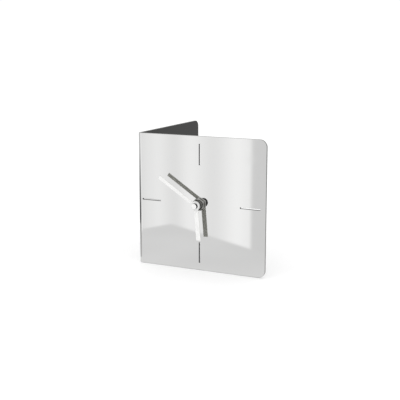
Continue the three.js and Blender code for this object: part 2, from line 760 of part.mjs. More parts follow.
function battery() {
  const cellLeft = -(cellLength + cellNubLength) / 2;
  const cellRight = cellLeft + cellLength;
  const nubRight = cellRight + cellNubLength;
  const cell = barrel(cellRadius, cellLeft, cellRight, cellAxisY, cellAxisZ, fineSteps).add(
    barrel(cellNubRadius, cellRight - 1, nubRight, cellAxisY, cellAxisZ),
  );

  // Each contact is a strip on the bay's end wall. The positive one has a pad and the negative one a bowed
  // tongue.
  const stripThickness = 0.4;
  const stripHalf = 3.5;
  const stripFront = cellAxisZ + 5;
  const stripBack = cellAxisZ - 5;
  const wallX = bayHalfLength - restGap;
  const padHalf = 1.6;
  const pad = block(
    nubRight + restGap,
    wallX - stripThickness / 2,
    cellAxisY - padHalf,
    cellAxisY + padHalf,
    cellAxisZ - padHalf,
    cellAxisZ + padHalf,
  );
  const positive = block(
    wallX - stripThickness,
    wallX,
    cellAxisY - stripHalf,
    cellAxisY + stripHalf,
    stripBack,
    stripFront,
  ).add(pad);
  const bow = new THREE.Shape();
  const bowTip = cellLeft - restGap;
  bow.moveTo(-wallX, stripBack);
  bow.lineTo(-wallX + stripThickness, stripBack).lineTo(-wallX + stripThickness, stripFront - 2);
  bow.lineTo(bowTip, cellAxisZ).lineTo(bowTip, cellAxisZ + 1).lineTo(-wallX + stripThickness, stripFront);
  bow.lineTo(-wallX, stripFront);
  const negative = prism(bow, cellAxisY - stripHalf, cellAxisY + stripHalf)
    .rotate([90, 0, 0])
    .translate([0, 2 * cellAxisY, 0]);
  return [
    part("battery_cell", cell, cellSleeve),
    part("battery_contact_positive", positive, springBrass),
    part("battery_contact_negative", negative, springBrass),
  ];
}

// ---------- assembly ----------

const clockwork = new THREE.Group();
clockwork.rotation.x = Math.PI / 2;
clockwork.position.set(dialWidth / 2, -rearWidth / 2, 0);
clockwork.add(
  ...fixings(),
  ...hands(),
  ...movementCase(),
  ...pins(),
  ...motionWork(),
  ...goingTrain(),
  ...setting(),
  ...motor(),
  ...circuit(),
  ...battery(),
);

const clock = new THREE.Group();
clock.add(foldedCase(), clockwork);

export default clock;
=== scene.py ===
"""Dresses the folded steel clock: its sheet, hands, fixings and movement, and the studio round it."""

import logging
import math
from dataclasses import dataclass, field
from enum import Enum
from typing import Callable, Iterable, Sequence

import bmesh
import bpy
from mathutils import Matrix, Vector


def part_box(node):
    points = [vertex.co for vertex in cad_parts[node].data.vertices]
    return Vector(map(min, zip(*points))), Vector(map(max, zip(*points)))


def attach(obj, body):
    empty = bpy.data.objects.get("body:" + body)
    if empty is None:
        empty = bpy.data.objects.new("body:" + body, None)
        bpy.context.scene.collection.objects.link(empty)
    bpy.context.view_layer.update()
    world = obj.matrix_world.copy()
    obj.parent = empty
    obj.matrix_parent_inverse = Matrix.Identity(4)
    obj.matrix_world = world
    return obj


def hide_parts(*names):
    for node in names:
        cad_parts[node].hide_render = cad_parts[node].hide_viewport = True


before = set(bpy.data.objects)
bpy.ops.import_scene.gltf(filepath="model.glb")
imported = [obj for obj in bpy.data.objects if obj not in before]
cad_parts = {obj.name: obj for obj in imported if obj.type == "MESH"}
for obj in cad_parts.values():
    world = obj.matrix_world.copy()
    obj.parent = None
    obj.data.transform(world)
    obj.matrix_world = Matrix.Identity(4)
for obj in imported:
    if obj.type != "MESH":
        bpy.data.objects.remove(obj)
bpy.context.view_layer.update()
log = logging.getLogger("clock")

MM = 0.001
Profile = Sequence[tuple[float, float]]


class Body(str, Enum):
    """The rigid bodies that pieces ride on."""

    CASE = "case"
    MINUTE = "minute_work"
    HOUR = "hour_work"
    SETTING = "setting_work"
    BATTERY = "battery"


class Side(Enum):
    """Which faces of a hand or its fixings a finish goes on."""

    FRONT = 0
    REST = 1
    HUB = 2


class SheetFace(Enum):
    """Which faces of the folded sheet a finish goes on."""

    POLISHED = 0
    EDGE = 1
    SLOT_WALL_PAINTED_SHADE = 2


# ---------- finishes ----------


class NodeSheet:
    """A small helper that builds one material's node tree."""

    def __init__(self, name: str) -> None:
        """Starts an empty tree with an output and a Principled shader.

        Args:
            name: The material's name.
        """
        self.material = bpy.data.materials.new(name)
        self.material.use_nodes = True
        self.tree = self.material.node_tree
        self.tree.nodes.clear()
        self.output = self.add("ShaderNodeOutputMaterial")
        self.shader = self.add("ShaderNodeBsdfPrincipled")
        self.join(self.shader, "BSDF", self.output, "Surface")
        self.coordinates = self.add("ShaderNodeTexCoord")

    def add(self, kind: str, **settings: object) -> bpy.types.Node:
        """Adds a node and sets its properties.

        Args:
            kind: The node's type name.
            settings: Property names and values.

        Returns:
            The new node.
        """
        node = self.tree.nodes.new(kind)
        for key, value in settings.items():
            setattr(node, key, value)
        return node

    def join(self, a: bpy.types.Node, out: str | int, b: bpy.types.Node, into: str | int) -> None:
        """Links two nodes.

        Args:
            a: The node that gives.
            out: Its output.
            b: The node that takes.
            into: Its input.
        """
        self.tree.links.new(a.outputs[out], b.inputs[into])

    def put(self, node: bpy.types.Node, **values: object) -> bpy.types.Node:
        """Sets inputs by name, with an underscore for each space.

        Args:
            node: The node.
            values: Input names and values.

        Returns:
            The same node.
        """
        for key, value in values.items():
            node.inputs[key.replace("_", " ")].default_value = value
        return node

    def noise(
        self, scale: float, detail: float = 3.0, stretch: Sequence[float] = (1, 1, 1)
    ) -> bpy.types.Node:
        """A noise pattern on the piece's own coordinates.

        Args:
            scale: Repeats to a metre.
            detail: Octaves.
            stretch: Scale along each axis.

        Returns:
            The noise node.
        """
        mapping = self.add("ShaderNodeMapping")
        mapping.inputs["Scale"].default_value = stretch
        self.join(self.coordinates, "Object", mapping, "Vector")
        node = self.put(self.add("ShaderNodeTexNoise"), Scale=scale, Detail=detail)
        self.join(mapping, "Vector", node, "Vector")
        return node

    def span(self, source: bpy.types.Node, out: str | int, low: float, high: float) -> bpy.types.Node:
        """Maps 0 to 1 onto a range.

        Args:
            source: The node with the value.
            out: Its output.
            low: The result at 0.
            high: The result at 1.

        Returns:
            The Map Range node.
        """
        node = self.add("ShaderNodeMapRange")
        self.join(source, out, node, "Value")
        node.inputs["To Min"].default_value = low
        node.inputs["To Max"].default_value = high
        return node

    def tint(
        self, source: bpy.types.Node, out: str | int, dark: Sequence[float], light: Sequence[float]
    ) -> None:
        """Runs the base colour between two tones by a value.

        Args:
            source: The node with the value.
            out: Its output.
            dark: The tone for low values.
            light: The tone for high values.
        """
        ramp = self.add("ShaderNodeValToRGB")
        ramp.color_ramp.elements[0].color = (*dark, 1)
        ramp.color_ramp.elements[0].position = 0.3
        ramp.color_ramp.elements[1].color = (*light, 1)
        ramp.color_ramp.elements[1].position = 0.7
        self.join(source, out, ramp, "Fac")
        self.join(ramp, "Color", self.shader, "Base Color")

    def roughen(self, source: bpy.types.Node, out: str | int, low: float, high: float) -> None:
        """Runs the roughness between two values.

        Args:
            source: The node with the value.
            out: Its output.
            low: The roughness at 0.
            high: The roughness at 1.
        """
        self.join(self.span(source, out, low, high), "Result", self.shader, "Roughness")

    def bump(self, source: bpy.types.Node, out: str | int, height_mm: float, strength: float = 1.0) -> None:
        """Raises the surface by a value.

        Args:
            source: The node with the height.
            out: Its output.
            height_mm: The height at 1, in millimetres.
            strength: The bump node's strength.
        """
        node = self.put(self.add("ShaderNodeBump"), Strength=strength, Distance=height_mm * MM)
        self.join(source, out, node, "Height")
        self.join(node, "Normal", self.shader, "Normal")


class Finish:
    """A finish that makes its material once."""

    name: str = "finish"
    made: dict[str, bpy.types.Material] = {}

    def material(self) -> bpy.types.Material:
        """Makes the finish's material on first use.

        Returns:
            The material.
        """
        if self.name not in Finish.made:
            Finish.made[self.name] = self.mix(NodeSheet(self.name))
        return Finish.made[self.name]

    def mix(self, sheet: NodeSheet) -> bpy.types.Material:
        """Builds the material's nodes. Each finish has its own.

        Args:
            sheet: A node sheet to build on.

        Returns:
            The material.
        """
        raise NotImplementedError


@dataclass(frozen=True)
class PolishedSteel(Finish):
    """Stainless sheet polished to a mirror, with the faint haze and wipe marks of handling."""

    name: str = "polished_steel"
    colour: tuple[float, float, float] = (0.83, 0.83, 0.825)

    def mix(self, sheet: NodeSheet) -> bpy.types.Material:
        """Builds the nodes.

        Args:
            sheet: A node sheet to build on.

        Returns:
            The material.
        """
        sheet.put(sheet.shader, Metallic=1.0)
        sheet.shader.inputs["Base Color"].default_value = (*self.colour, 1)
        wipe = sheet.noise(38, 4, (1, 1, 3.5))
        sheet.roughen(wipe, "Fac", 0.02, 0.075)
        return sheet.material


@dataclass(frozen=True)
class CutEdge(Finish):
    """The cut edge of the sheet, with fine lines across its thickness."""

    name: str = "cut_edge"
    tone: float = 0.3
    roughness: float = 0.38

    def mix(self, sheet: NodeSheet) -> bpy.types.Material:
        """Builds the nodes.

        Args:
            sheet: A node sheet to build on.

        Returns:
            The material.
        """
        sheet.put(sheet.shader, Metallic=1.0)
        lines = sheet.noise(900, 4)
        low, high = self.tone * 0.75, self.tone * 1.2
        sheet.tint(lines, "Fac", (low, low, low * 0.97), (high, high, high * 0.98))
        sheet.roughen(lines, "Fac", self.roughness - 0.08, self.roughness + 0.1)
        sheet.bump(lines, "Fac", 0.03)
        return sheet.material


@dataclass(frozen=True)
class Paint(Finish):
    """Sprayed satin paint with a trace of orange peel."""

    name: str = "white_paint"
    dark: tuple[float, float, float] = (0.61, 0.61, 0.603)
    light: tuple[float, float, float] = (0.67, 0.67, 0.663)
    roughness: float = 0.34

    def mix(self, sheet: NodeSheet) -> bpy.types.Material:
        """Builds the nodes.

        Args:
            sheet: A node sheet to build on.

        Returns:
            The material.
        """
        cloud = sheet.noise(260, 3)
        sheet.tint(cloud, "Fac", self.dark, self.light)
        sheet.roughen(cloud, "Fac", self.roughness - 0.05, self.roughness + 0.07)
        peel = sheet.noise(2600, 2)
        sheet.bump(peel, "Fac", 0.012)
        return sheet.material


@dataclass(frozen=True)
class Metal(Finish):
    """Bare or plated metal with fine marks, which can run round or along a piece."""

    name: str = "metal"
    dark: tuple[float, float, float] = (0.4, 0.4, 0.4)
    light: tuple[float, float, float] = (0.5, 0.5, 0.5)
    roughness: float = 0.3
    grain: float = 1200
    stretch: tuple[float, float, float] = (1, 1, 1)
    relief_mm: float = 0.01
    metallic: float = 1.0

    def mix(self, sheet: NodeSheet) -> bpy.types.Material:
        """Builds the nodes.

        Args:
            sheet: A node sheet to build on.

        Returns:
            The material.
        """
        sheet.put(sheet.shader, Metallic=self.metallic)
        marks = sheet.noise(self.grain, 4, self.stretch)
        sheet.tint(marks, "Fac", self.dark, self.light)
        sheet.roughen(marks, "Fac", self.roughness - 0.07, self.roughness + 0.1)
        sheet.bump(marks, "Fac", self.relief_mm)
        return sheet.material


@dataclass(frozen=True)
class Moulded(Finish):
    """Moulded plastic or rubber with a spark-eroded texture."""

    name: str = "moulded"
    dark: tuple[float, float, float] = (0.02, 0.02, 0.021)
    light: tuple[float, float, float] = (0.034, 0.034, 0.036)
    roughness: float = 0.5
    grain: float = 1700
    relief_mm: float = 0.03

    def mix(self, sheet: NodeSheet) -> bpy.types.Material:
        """Builds the nodes.

        Args:
            sheet: A node sheet to build on.

        Returns:
            The material.
        """
        cloud = sheet.noise(130, 3)
        sheet.tint(cloud, "Fac", self.dark, self.light)
        texture = sheet.noise(self.grain, 5)
        sheet.roughen(texture, "Fac", self.roughness - 0.1, self.roughness + 0.12)
        sheet.bump(texture, "Fac", self.relief_mm)
        return sheet.material


@dataclass(frozen=True)
class Wound(Finish):
    """Fine enamelled wire in close turns along X, with painted shade in the grooves between turns."""

    name: str = "wound_wire"
    turns_per_mm: float = 5

    def mix(self, sheet: NodeSheet) -> bpy.types.Material:
        """Builds the nodes.

        Args:
            sheet: A node sheet to build on.

        Returns:
            The material.
        """
        sheet.put(sheet.shader, Metallic=0.9)
        wave = sheet.put(sheet.add("ShaderNodeTexWave"), Scale=self.turns_per_mm / MM / 20, Distortion=0.4)
        sheet.join(sheet.coordinates, "Object", wave, "Vector")
        # Darker where the wave is low, in the grooves between turns: painted shade.
        sheet.tint(wave, "Fac", (0.28, 0.09, 0.03), (0.74, 0.31, 0.13))
        sheet.roughen(wave, "Fac", 0.24, 0.42)
        sheet.bump(wave, "Fac", 0.06)
        return sheet.material


@dataclass(frozen=True)
class SolderMask(Finish):
    """Circuit board under a green mask, with tracks that show as a paler green."""

    name: str = "solder_mask"

    def mix(self, sheet: NodeSheet) -> bpy.types.Material:
        """Builds the nodes.

        Args:
            sheet: A node sheet to build on.

        Returns:
            The material.
        """
        cells = sheet.put(sheet.add("ShaderNodeTexVoronoi", distance="MANHATTAN"), Scale=330)
        sheet.join(sheet.coordinates, "Object", cells, "Vector")
        sheet.tint(cells, "Distance", (0.012, 0.07, 0.03), (0.03, 0.16, 0.07))
        sheet.roughen(cells, "Distance", 0.25, 0.4)
        sheet.bump(cells, "Distance", 0.03)
        return sheet.material


POLISHED = PolishedSteel()
EDGE = CutEdge()
# Slot walls: cut edge darkened almost to black with painted shade, so that the slots read dark.
SLOT_WALL_PAINTED_SHADE = CutEdge(name="slot_wall_painted_shade", tone=0.018, roughness=0.7)
WHITE = Paint()
HAND_BACK = Moulded(name="hand_back", dark=(0.4, 0.4, 0.365), light=(0.5, 0.5, 0.46), relief_mm=0.01)
HUB_DARK = Metal(name="hub_dark", dark=(0.02, 0.02, 0.02), light=(0.05, 0.05, 0.048), roughness=0.32)
# The bush's plating, darkened well below the nut's with painted shade, as its thread sits in shade among the
# hub.
THREAD_PLATE_IN_PAINTED_SHADE = Metal(name="thread_plate_painted_shade", dark=(0.09, 0.09, 0.085), light=(0.16, 0.16, 0.15), roughness=0.3)
NICKEL = Metal(name="nickel_plate", dark=(0.3, 0.3, 0.29), light=(0.42, 0.42, 0.4), roughness=0.25)
STEEL = Metal(name="ground_steel", dark=(0.52, 0.52, 0.53), light=(0.66, 0.66, 0.67), roughness=0.24)
LAMINATION = Metal(name="lamination_steel", dark=(0.2, 0.21, 0.23), light=(0.32, 0.33, 0.35), roughness=0.42)
BRASS = Metal(name="spring_brass", dark=(0.56, 0.41, 0.16), light=(0.74, 0.58, 0.27), roughness=0.3)
MAGNET = Metal(
    name="magnet", dark=(0.07, 0.07, 0.08), light=(0.12, 0.12, 0.13), roughness=0.5, relief_mm=0.03
)
TIN = Metal(name="cell_can", dark=(0.6, 0.6, 0.6), light=(0.74, 0.74, 0.74), roughness=0.26)
BLACK = Moulded(name="black_plastic")
NATURAL = Moulded(name="natural_plastic", dark=(0.68, 0.66, 0.58), light=(0.78, 0.76, 0.69), roughness=0.42)
RUBBER = Moulded(name="black_rubber", dark=(0.012, 0.012, 0.012), light=(0.022, 0.022, 0.022), roughness=0.8)
EPOXY = Moulded(
    name="chip_epoxy", dark=(0.01, 0.01, 0.01), light=(0.016, 0.016, 0.017), roughness=0.22, grain=400
)
SLEEVE = Paint(name="cell_sleeve", dark=(0.045, 0.085, 0.13), light=(0.06, 0.11, 0.165), roughness=0.24)
SLEEVE_BAND = Paint(
    name="cell_sleeve_band", dark=(0.55, 0.56, 0.57), light=(0.62, 0.63, 0.64), roughness=0.24
)
WIRE = Wound()
MASK = SolderMask()


# ---------- mesh tools ----------

SHARP = math.radians(38)


@dataclass(frozen=True)
class Place:
    """A place in millimetres from the dial's middle: x and y across the dial, z out of it."""

    x: float = 0.0
    y: float = 0.0
    z: float = 0.0

    def point(self, dial: Vector) -> Vector:
        """The place in the part's frame, in metres.

        Args:
            dial: The dial's middle on its face, in metres.

        Returns:
            The point.
        """
        return dial + Vector((self.x, -self.z, self.y)) * MM


class Workshop:
    """Makes mesh pieces and puts them on their bodies."""

    def __init__(self) -> None:
        """Reads where the dial is."""
        lo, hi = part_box("folded_case")
        bush_lo, bush_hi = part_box("threaded_bush")
        self.dial = Vector(((bush_lo[0] + bush_hi[0]) / 2, lo[1], (bush_lo[2] + bush_hi[2]) / 2))
        self.case_low, self.case_high = Vector(lo), Vector(hi)

    def span(self, node: str) -> tuple[Place, Place]:
        """A node's corners on the clockwork's axes.

        Args:
            node: The CAD node.

        Returns:
            Its lowest and highest corner.
        """
        lo, hi = (Vector(c) - self.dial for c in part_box(node))
        return Place(lo.x / MM, lo.z / MM, -hi.y / MM), Place(hi.x / MM, hi.z / MM, -lo.y / MM)

    def object(self, name: str, mesh: bpy.types.Mesh, finishes: Iterable[Finish]) -> bpy.types.Object:
        """An object at the origin that holds a mesh.

        Args:
            name: The piece's name.
            mesh: Its mesh.
            finishes: One finish for each material slot.

        Returns:
            The object.
        """
        made = bpy.data.objects.new(name, mesh)
        bpy.context.scene.collection.objects.link(made)
        mesh.materials.clear()
        for finish in finishes:
            mesh.materials.append(finish.material())
        return made

    def settle(
        self, piece: bpy.types.Object, body: Body, slot: str, nodes: Sequence[str] = ()
    ) -> bpy.types.Object:
        """Puts a piece on its body and hides what it stands for.

        Args:
            piece: The piece.
            body: The body that it rides on.
            slot: The name of a material slot. Not used.
            nodes: The CAD nodes that it replaces.

        Returns:
            The piece.
        """
        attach(piece, body.value)
        if nodes:
            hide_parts(*nodes)
        log.info("%s: %d faces on %s", piece.name, len(piece.data.polygons), body.value)
        return piece

    def baked(self, piece: bpy.types.Object) -> bpy.types.Object:
        """Turns a piece with modifiers into a plain mesh.

        Args:
            piece: The piece.

        Returns:
            The same piece, with no modifiers.
        """
        evaluated = piece.evaluated_get(bpy.context.evaluated_depsgraph_get())
        mesh = bpy.data.meshes.new_from_object(evaluated)
        piece.modifiers.clear()
        piece.data = mesh
        return piece

    def finished(self, name: str, build: bmesh.types.BMesh, finishes: Iterable[Finish]) -> bpy.types.Object:
        """Writes a bmesh out as an object whose sharp edges stay sharp.

        Args:
            name: The piece's name.
            build: The bmesh, which is freed.
            finishes: The finishes.

        Returns:
            The object.
        """
        kept = [(face.material_index, face.smooth) for face in build.faces]
        mesh = bpy.data.meshes.new(name)
        build.to_mesh(mesh)
        build.free()
        made = self.object(name, mesh, finishes)
        mesh.set_sharp_from_angle(angle=SHARP)
        for polygon, (index, smooth) in zip(mesh.polygons, kept):
            polygon.material_index = index
            polygon.use_smooth = smooth
        return made

    def revolved(
        self,
        profile: Callable[[float], Profile] | Profile,
        steps: int,
        place: Callable[[float, float, float], Place],
    ) -> bmesh.types.BMesh:
        """A closed ring of revolution, whose section may change as it goes round.

        Args:
            profile: Radius and distance pairs that close on themselves, or a function of the angle that
                gives them.
            steps: Sides.
            place: Gives the place of a radius, a distance along the axis and an angle.

        Returns:
            The ring as a bmesh.
        """
        section = profile if callable(profile) else (lambda _angle: profile)
        build = bmesh.new()
        rings = []
        for step in range(steps):
            angle = math.tau * step / steps
            points = [place(r, s, angle).point(self.dial) for r, s in section(angle)]
            rings.append([build.verts.new(point) for point in points])
        count = len(rings[0])
        for here, there in zip(rings, rings[1:] + rings[:1]):
            for k in range(count):
                build.faces.new((here[k], there[k], there[(k + 1) % count], here[(k + 1) % count]))
        bmesh.ops.remove_doubles(build, verts=build.verts, dist=1e-7)
        bmesh.ops.dissolve_degenerate(build, edges=build.edges, dist=1e-8)
        bmesh.ops.recalc_face_normals(build, faces=build.faces)
        for face in build.faces:
            face.smooth = True
        return build

    def turned(
        self,
        name: str,
        profile: Callable[[float], Profile] | Profile,
        finishes: Iterable[Finish],
        steps: int = 64,
        front_above: float | None = None,
    ) -> bpy.types.Object:
        """A piece turned about the hands' axis.

        Args:
            name: The piece's name.
            profile: Its section, as for `revolved`, with heights as the distances.
            finishes: The finishes.
            steps: Sides.
            front_above: Faces that look forward above this height take the first finish, and the rest the
                second.

        Returns:
            The object.
        """
        build = self.revolved(profile, steps, lambda r, z, a: Place(r * math.cos(a), r * math.sin(a), z))
        if front_above is not None:
            for face in build.faces:
                height = -(face.calc_center_median().y - self.dial.y) / MM
                forward = face.normal.y < -0.5 and height > front_above
                face.material_index = Side.FRONT.value if forward else Side.REST.value
        return self.finished(name, build, finishes)

    def softened(
        self, name: str, node: str, finishes: Iterable[Finish], radius_mm: float, segments: int = 2
    ) -> bpy.types.Object:
        """A copy of a CAD node whose sharp edges are rounded.

        Args:
            name: The piece's name.
            node: The CAD node.
            finishes: The finishes.
            radius_mm: The rounding.
            segments: Steps in each rounding.

        Returns:
            The object.
        """
        build = bmesh.new()
        build.from_mesh(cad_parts[node].data)
        bmesh.ops.remove_doubles(build, verts=build.verts, dist=2e-6)
        bmesh.ops.dissolve_limit(
            build, angle_limit=math.radians(1), verts=build.verts, edges=build.edges, delimit={"NORMAL"}
        )
        for face in build.faces:
            face.smooth = True
            face.material_index = 0
        made = self.finished(name, build, finishes)
        bevel = made.modifiers.new("rounding", "BEVEL")
        bevel.width = radius_mm * MM
        bevel.segments = segments
        bevel.limit_method = "ANGLE"
        bevel.angle_limit = math.radians(32)
        self.baked(made)
        made.data.set_sharp_from_angle(angle=SHARP)
        return made

    def plate(
        self,
        name: str,
        outline: Profile,
        holes: Sequence[Profile],
        thickness: float,
        edge: float,
        segments: int = 1,
    ) -> bmesh.types.BMesh:
        """A flat plate with holes and eased edges: x and y across it, and z through its middle.

        Args:
            name: A name for the working curve.
            outline: The outline's points.
            holes: Each hole's points.
            thickness: The thickness.
            edge: How far the edges are eased.
            segments: Steps in each eased edge.

        Returns:
            The plate as a bmesh, in millimetres.
        """
        curve = bpy.data.curves.new(name, "CURVE")
        curve.dimensions = "2D"
        curve.fill_mode = "BOTH"
        curve.extrude = thickness / 2 - edge
        curve.bevel_depth = edge
        curve.bevel_resolution = segments - 1
        curve.offset = -edge
        for points in (outline, *holes):
            spline = curve.splines.new("POLY")
            spline.points.add(len(points) - 1)
            for point, (x, y) in zip(spline.points, points):
                point.co = (x, y, 0, 1)
            spline.use_cyclic_u = True
        holder = bpy.data.objects.new(name, curve)
        bpy.context.scene.collection.objects.link(holder)
        mesh = bpy.data.meshes.new_from_object(holder.evaluated_get(bpy.context.evaluated_depsgraph_get()))
        bpy.data.objects.remove(holder)
        build = bmesh.new()
        build.from_mesh(mesh)
        bpy.data.meshes.remove(mesh)
        bmesh.ops.remove_doubles(build, verts=build.verts, dist=1e-4)
        bmesh.ops.recalc_face_normals(build, faces=build.faces)
        for face in build.faces:
            face.material_index = 0
        return build


def arc(x: float, y: float, radius: float, start: float, end: float, steps: int) -> list[tuple[float, float]]:
    """Points on an arc, ends included.

    Args:
        x: The centre's x.
        y: The centre's y.
        radius: The radius.
        start: The first angle, in degrees.
        end: The last angle, in degrees.
        steps: Steps between them.

    Returns:
        The points.
    """
    angles = (math.radians(start + (end - start) * k / steps) for k in range(steps + 1))
    return [(x + radius * math.cos(a), y + radius * math.sin(a)) for a in angles]


def circle(x: float, y: float, radius: float, steps: int = 64) -> list[tuple[float, float]]:
    """Points round a circle, with the first not repeated."""
    return arc(x, y, radius, 0, 360, steps)[:-1]


def rounded(left: float, right: float, half: float, radius: float, steps: int) -> list[tuple[float, float]]:
    """The outline of a rectangle with round corners.

    Args:
        left: Its lowest x.
        right: Its highest x.
        half: Half its height, which lies about y = 0.
        radius: The corners' radius.
        steps: Steps in each corner.

    Returns:
        The points.
    """
    x0, x1, y = left + radius, right - radius, half - radius
    points = arc(x0, -y, radius, 180, 270, steps) + arc(x1, -y, radius, 270, 360, steps)
    return points + arc(x1, y, radius, 0, 90, steps) + arc(x0, y, radius, 90, 180, steps)


def rectangle(x: float, y: float, wide: float, high: float) -> list[tuple[float, float]]:
    """The corners of a rectangle about its middle."""
    return [(x + i * wide / 2, y + j * high / 2) for i, j in ((-1, -1), (1, -1), (1, 1), (-1, 1))]


def eased_ring(inner: float, outer: float, low: float, high: float, ease: float) -> Profile:
    """The section of a flat ring with eased edges.

    Args:
        inner: Its inner radius.
        outer: Its outer radius.
        low: Its back's height.
        high: Its front's height.
        ease: How far its edges are eased.

    Returns:
        Radius and height pairs.
    """
    back = [(inner, low + ease), (inner + ease, low), (outer - ease, low), (outer, low + ease)]
    front = [(outer, high - ease), (outer - ease, high), (inner + ease, high), (inner, high - ease)]
    return back + front


def cut_across(build: bmesh.types.BMesh, x: float) -> None:
    """Cuts every face of a plate along a line at one x."""
    everything = [*build.verts, *build.edges, *build.faces]
    bmesh.ops.bisect_plane(build, geom=everything, dist=1e-5, plane_co=(x, 0, 0), plane_no=(1, 0, 0))


@dataclass
class SubAssembly:
    """What every sub-assembly has: the workshop that makes its pieces. Sizes are in millimetres."""

    shop: Workshop

    def build(self) -> list[bpy.types.Object]:
        """Makes the sub-assembly's pieces. Each has its own.

        Returns:
            The pieces.
        """
        raise NotImplementedError


# ---------- the folded sheet ----------


@dataclass
class FoldedSheet(SubAssembly):
    """The case: one sheet that is the dial and the rear leaf."""

    thickness: float = 2.0
    bend_radius: float = 4.0
    corner_radius: float = 6.5
    slot_length: float = 18.5
    slot_width: float = 1.2
    upright_margin: float = 6.8
    level_margin: float = 5.0
    bush_hole: float = 4.08
    wall_hole: float = 2.25
    wall_hole_spacing: float = 80.0
    eased_edge: float = 0.09
    bend_steps: int = 28
    corner_steps: int = 14

    def __post_init__(self) -> None:
        """Works out the flat sheet's lengths from the frame."""
        size = (self.shop.case_high - self.shop.case_low) / MM
        self.wide, self.deep, self.high = size
        self.straight = self.wide - self.bend_radius
        self.bent = self.bend_radius * math.pi / 2

    def slots(self) -> list[tuple[float, float, float, float]]:
        """The quarter-hour slots on the flat sheet.

        Returns:
            Each slot's middle and size.
        """
        upright = self.high / 2 - self.upright_margin - self.slot_length / 2
        level = self.wide / 2 - self.level_margin - self.slot_length / 2
        middle = self.wide / 2
        return [
            (middle, upright, self.slot_width, self.slot_length),
            (middle, -upright, self.slot_width, self.slot_length),
            (middle - level, 0, self.slot_length, self.slot_width),
            (middle + level, 0, self.slot_length, self.slot_width),
        ]

    def build(self) -> list[bpy.types.Object]:
        """Cuts the flat sheet, folds it and dresses it.

        Returns:
            The folded sheet alone.
        """
        past_bend = self.straight + self.bent - self.bend_radius
        outline = rounded(0, past_bend + self.deep, self.high / 2, self.corner_radius, self.corner_steps)
        rear_middle = past_bend + self.deep / 2
        holes = [rectangle(*slot) for slot in self.slots()]
        holes.append(circle(self.wide / 2, 0, self.bush_hole, 48))
        for side in (-1, 1):
            holes.append(circle(rear_middle + side * self.wall_hole_spacing / 2, 0, self.wall_hole, 32))
        build = self.shop.plate("case_blank", outline, holes, self.thickness, self.eased_edge, 2)
        for step in range(self.bend_steps + 1):
            cut_across(build, self.straight + self.bent * step / self.bend_steps)
        self.dress(build)
        for vert in build.verts:
            vert.co = self.folded(vert.co)
        bmesh.ops.recalc_face_normals(build, faces=build.faces)
        sheet = self.shop.finished("folded_sheet", build, (POLISHED, EDGE, SLOT_WALL_PAINTED_SHADE))
        return [self.shop.settle(sheet, Body.CASE, "polished_steel", ["folded_case"])]

    def dress(self, build: bmesh.types.BMesh) -> None:
        """Sorts the faces into polished, edge and slot wall, and leaves flat faces flat. The slot walls take
        painted shade.

        Args:
            build: The flat sheet.
        """
        flat, near = 0.95, 0.3
        for face in build.faces:
            across = abs(face.normal.z)
            middle = face.calc_center_median()
            in_bend = self.straight - 1e-3 < middle.x < self.straight + self.bent + 1e-3
            face.smooth = in_bend or 1 - flat < across < flat
            if across > flat:
                continue
            in_slot = any(
                abs(middle.x - x) < wide / 2 + near and abs(middle.y - y) < high / 2 + near
                for x, y, wide, high in self.slots()
            )
            face.material_index = (SheetFace.SLOT_WALL_PAINTED_SHADE if in_slot else SheetFace.EDGE).value

    def folded(self, co: Vector) -> Vector:
        """Where a point of the flat sheet goes when the sheet is folded.

        Args:
            co: The point: along the sheet from the dial's free edge, up it, and through it.

        Returns:
            The point in the part's frame.
        """
        along, up, depth = co.x, co.y, self.thickness / 2 + co.z
        r = self.bend_radius
        if along <= self.straight:
            x, y = self.straight + r - along, depth
        elif along < self.straight + self.bent:
            turn = (along - self.straight) / r
            x, y = r - (r - depth) * math.sin(turn), r - (r - depth) * math.cos(turn)
        else:
            x, y = depth, r + along - self.straight - self.bent
        return Vector((self.shop.case_low.x + x * MM, self.shop.case_low.y + y * MM, up * MM))


# ---------- hands and fixings ----------


@dataclass
class BarHand(SubAssembly):
    """A hand stamped as a straight bar with a disc, pressed on a collet. Its front alone is painted."""

    name: str
    body: Body
    length: float
    width: float
    blade_back: float
    collet_radius: float
    bore: float
    clock_degrees: float
    blade_thickness: float = 0.4
    disc_radius: float = 4.1
    eased_edge: float = 0.07
    collet_ease: float = 0.12

    def build(self) -> list[bpy.types.Object]:
        """Stamps the blade, turns the collet and dresses both.

        Returns:
            The blade and the collet.
        """
        reach = math.degrees(math.asin(self.width / 2 / self.disc_radius))
        outline = arc(0, 0, self.disc_radius, reach, 360 - reach, 48)
        outline += [(self.length, -self.width / 2), (self.length, self.width / 2)]
        bore = circle(0, 0, self.bore, 32)
        build = self.shop.plate(
            f"{self.name}_blank", outline, [bore], self.blade_thickness, self.eased_edge, 2
        )
        cut_across(build, self.disc_radius)
        for face in build.faces:
            face.smooth = abs(face.normal.z) < 0.95
            at_hub = face.calc_center_median().x < self.disc_radius
            rest = Side.HUB if at_hub else Side.REST
            face.material_index = (Side.FRONT if face.normal.z > 0.5 else rest).value
        turn = Matrix.Rotation(math.radians(90 - self.clock_degrees), 3, "Z")
        middle = self.blade_back + self.blade_thickness / 2
        for vert in build.verts:
            x, y, z = turn @ vert.co
            vert.co = Place(x, y, middle + z).point(self.shop.dial)
        blade = self.shop.finished(f"{self.name}_blade", build, (WHITE, HAND_BACK, HUB_DARK))
        self.shop.settle(blade, self.body, "white_paint", [self.name])
        return [blade, self.collet()]

    def collet(self) -> bpy.types.Object:
        """Turns the collet that the blade is riveted to.

        Returns:
            The collet.
        """
        low, high = self.shop.span(self.name)
        profile = eased_ring(self.bore, self.collet_radius, low.z, high.z, self.collet_ease)
        front = high.z - self.collet_ease * 1.5
        ring = self.shop.turned(f"{self.name}_collet", profile, (WHITE, HUB_DARK), front_above=front)
        return self.shop.settle(ring, self.body, "white_paint")


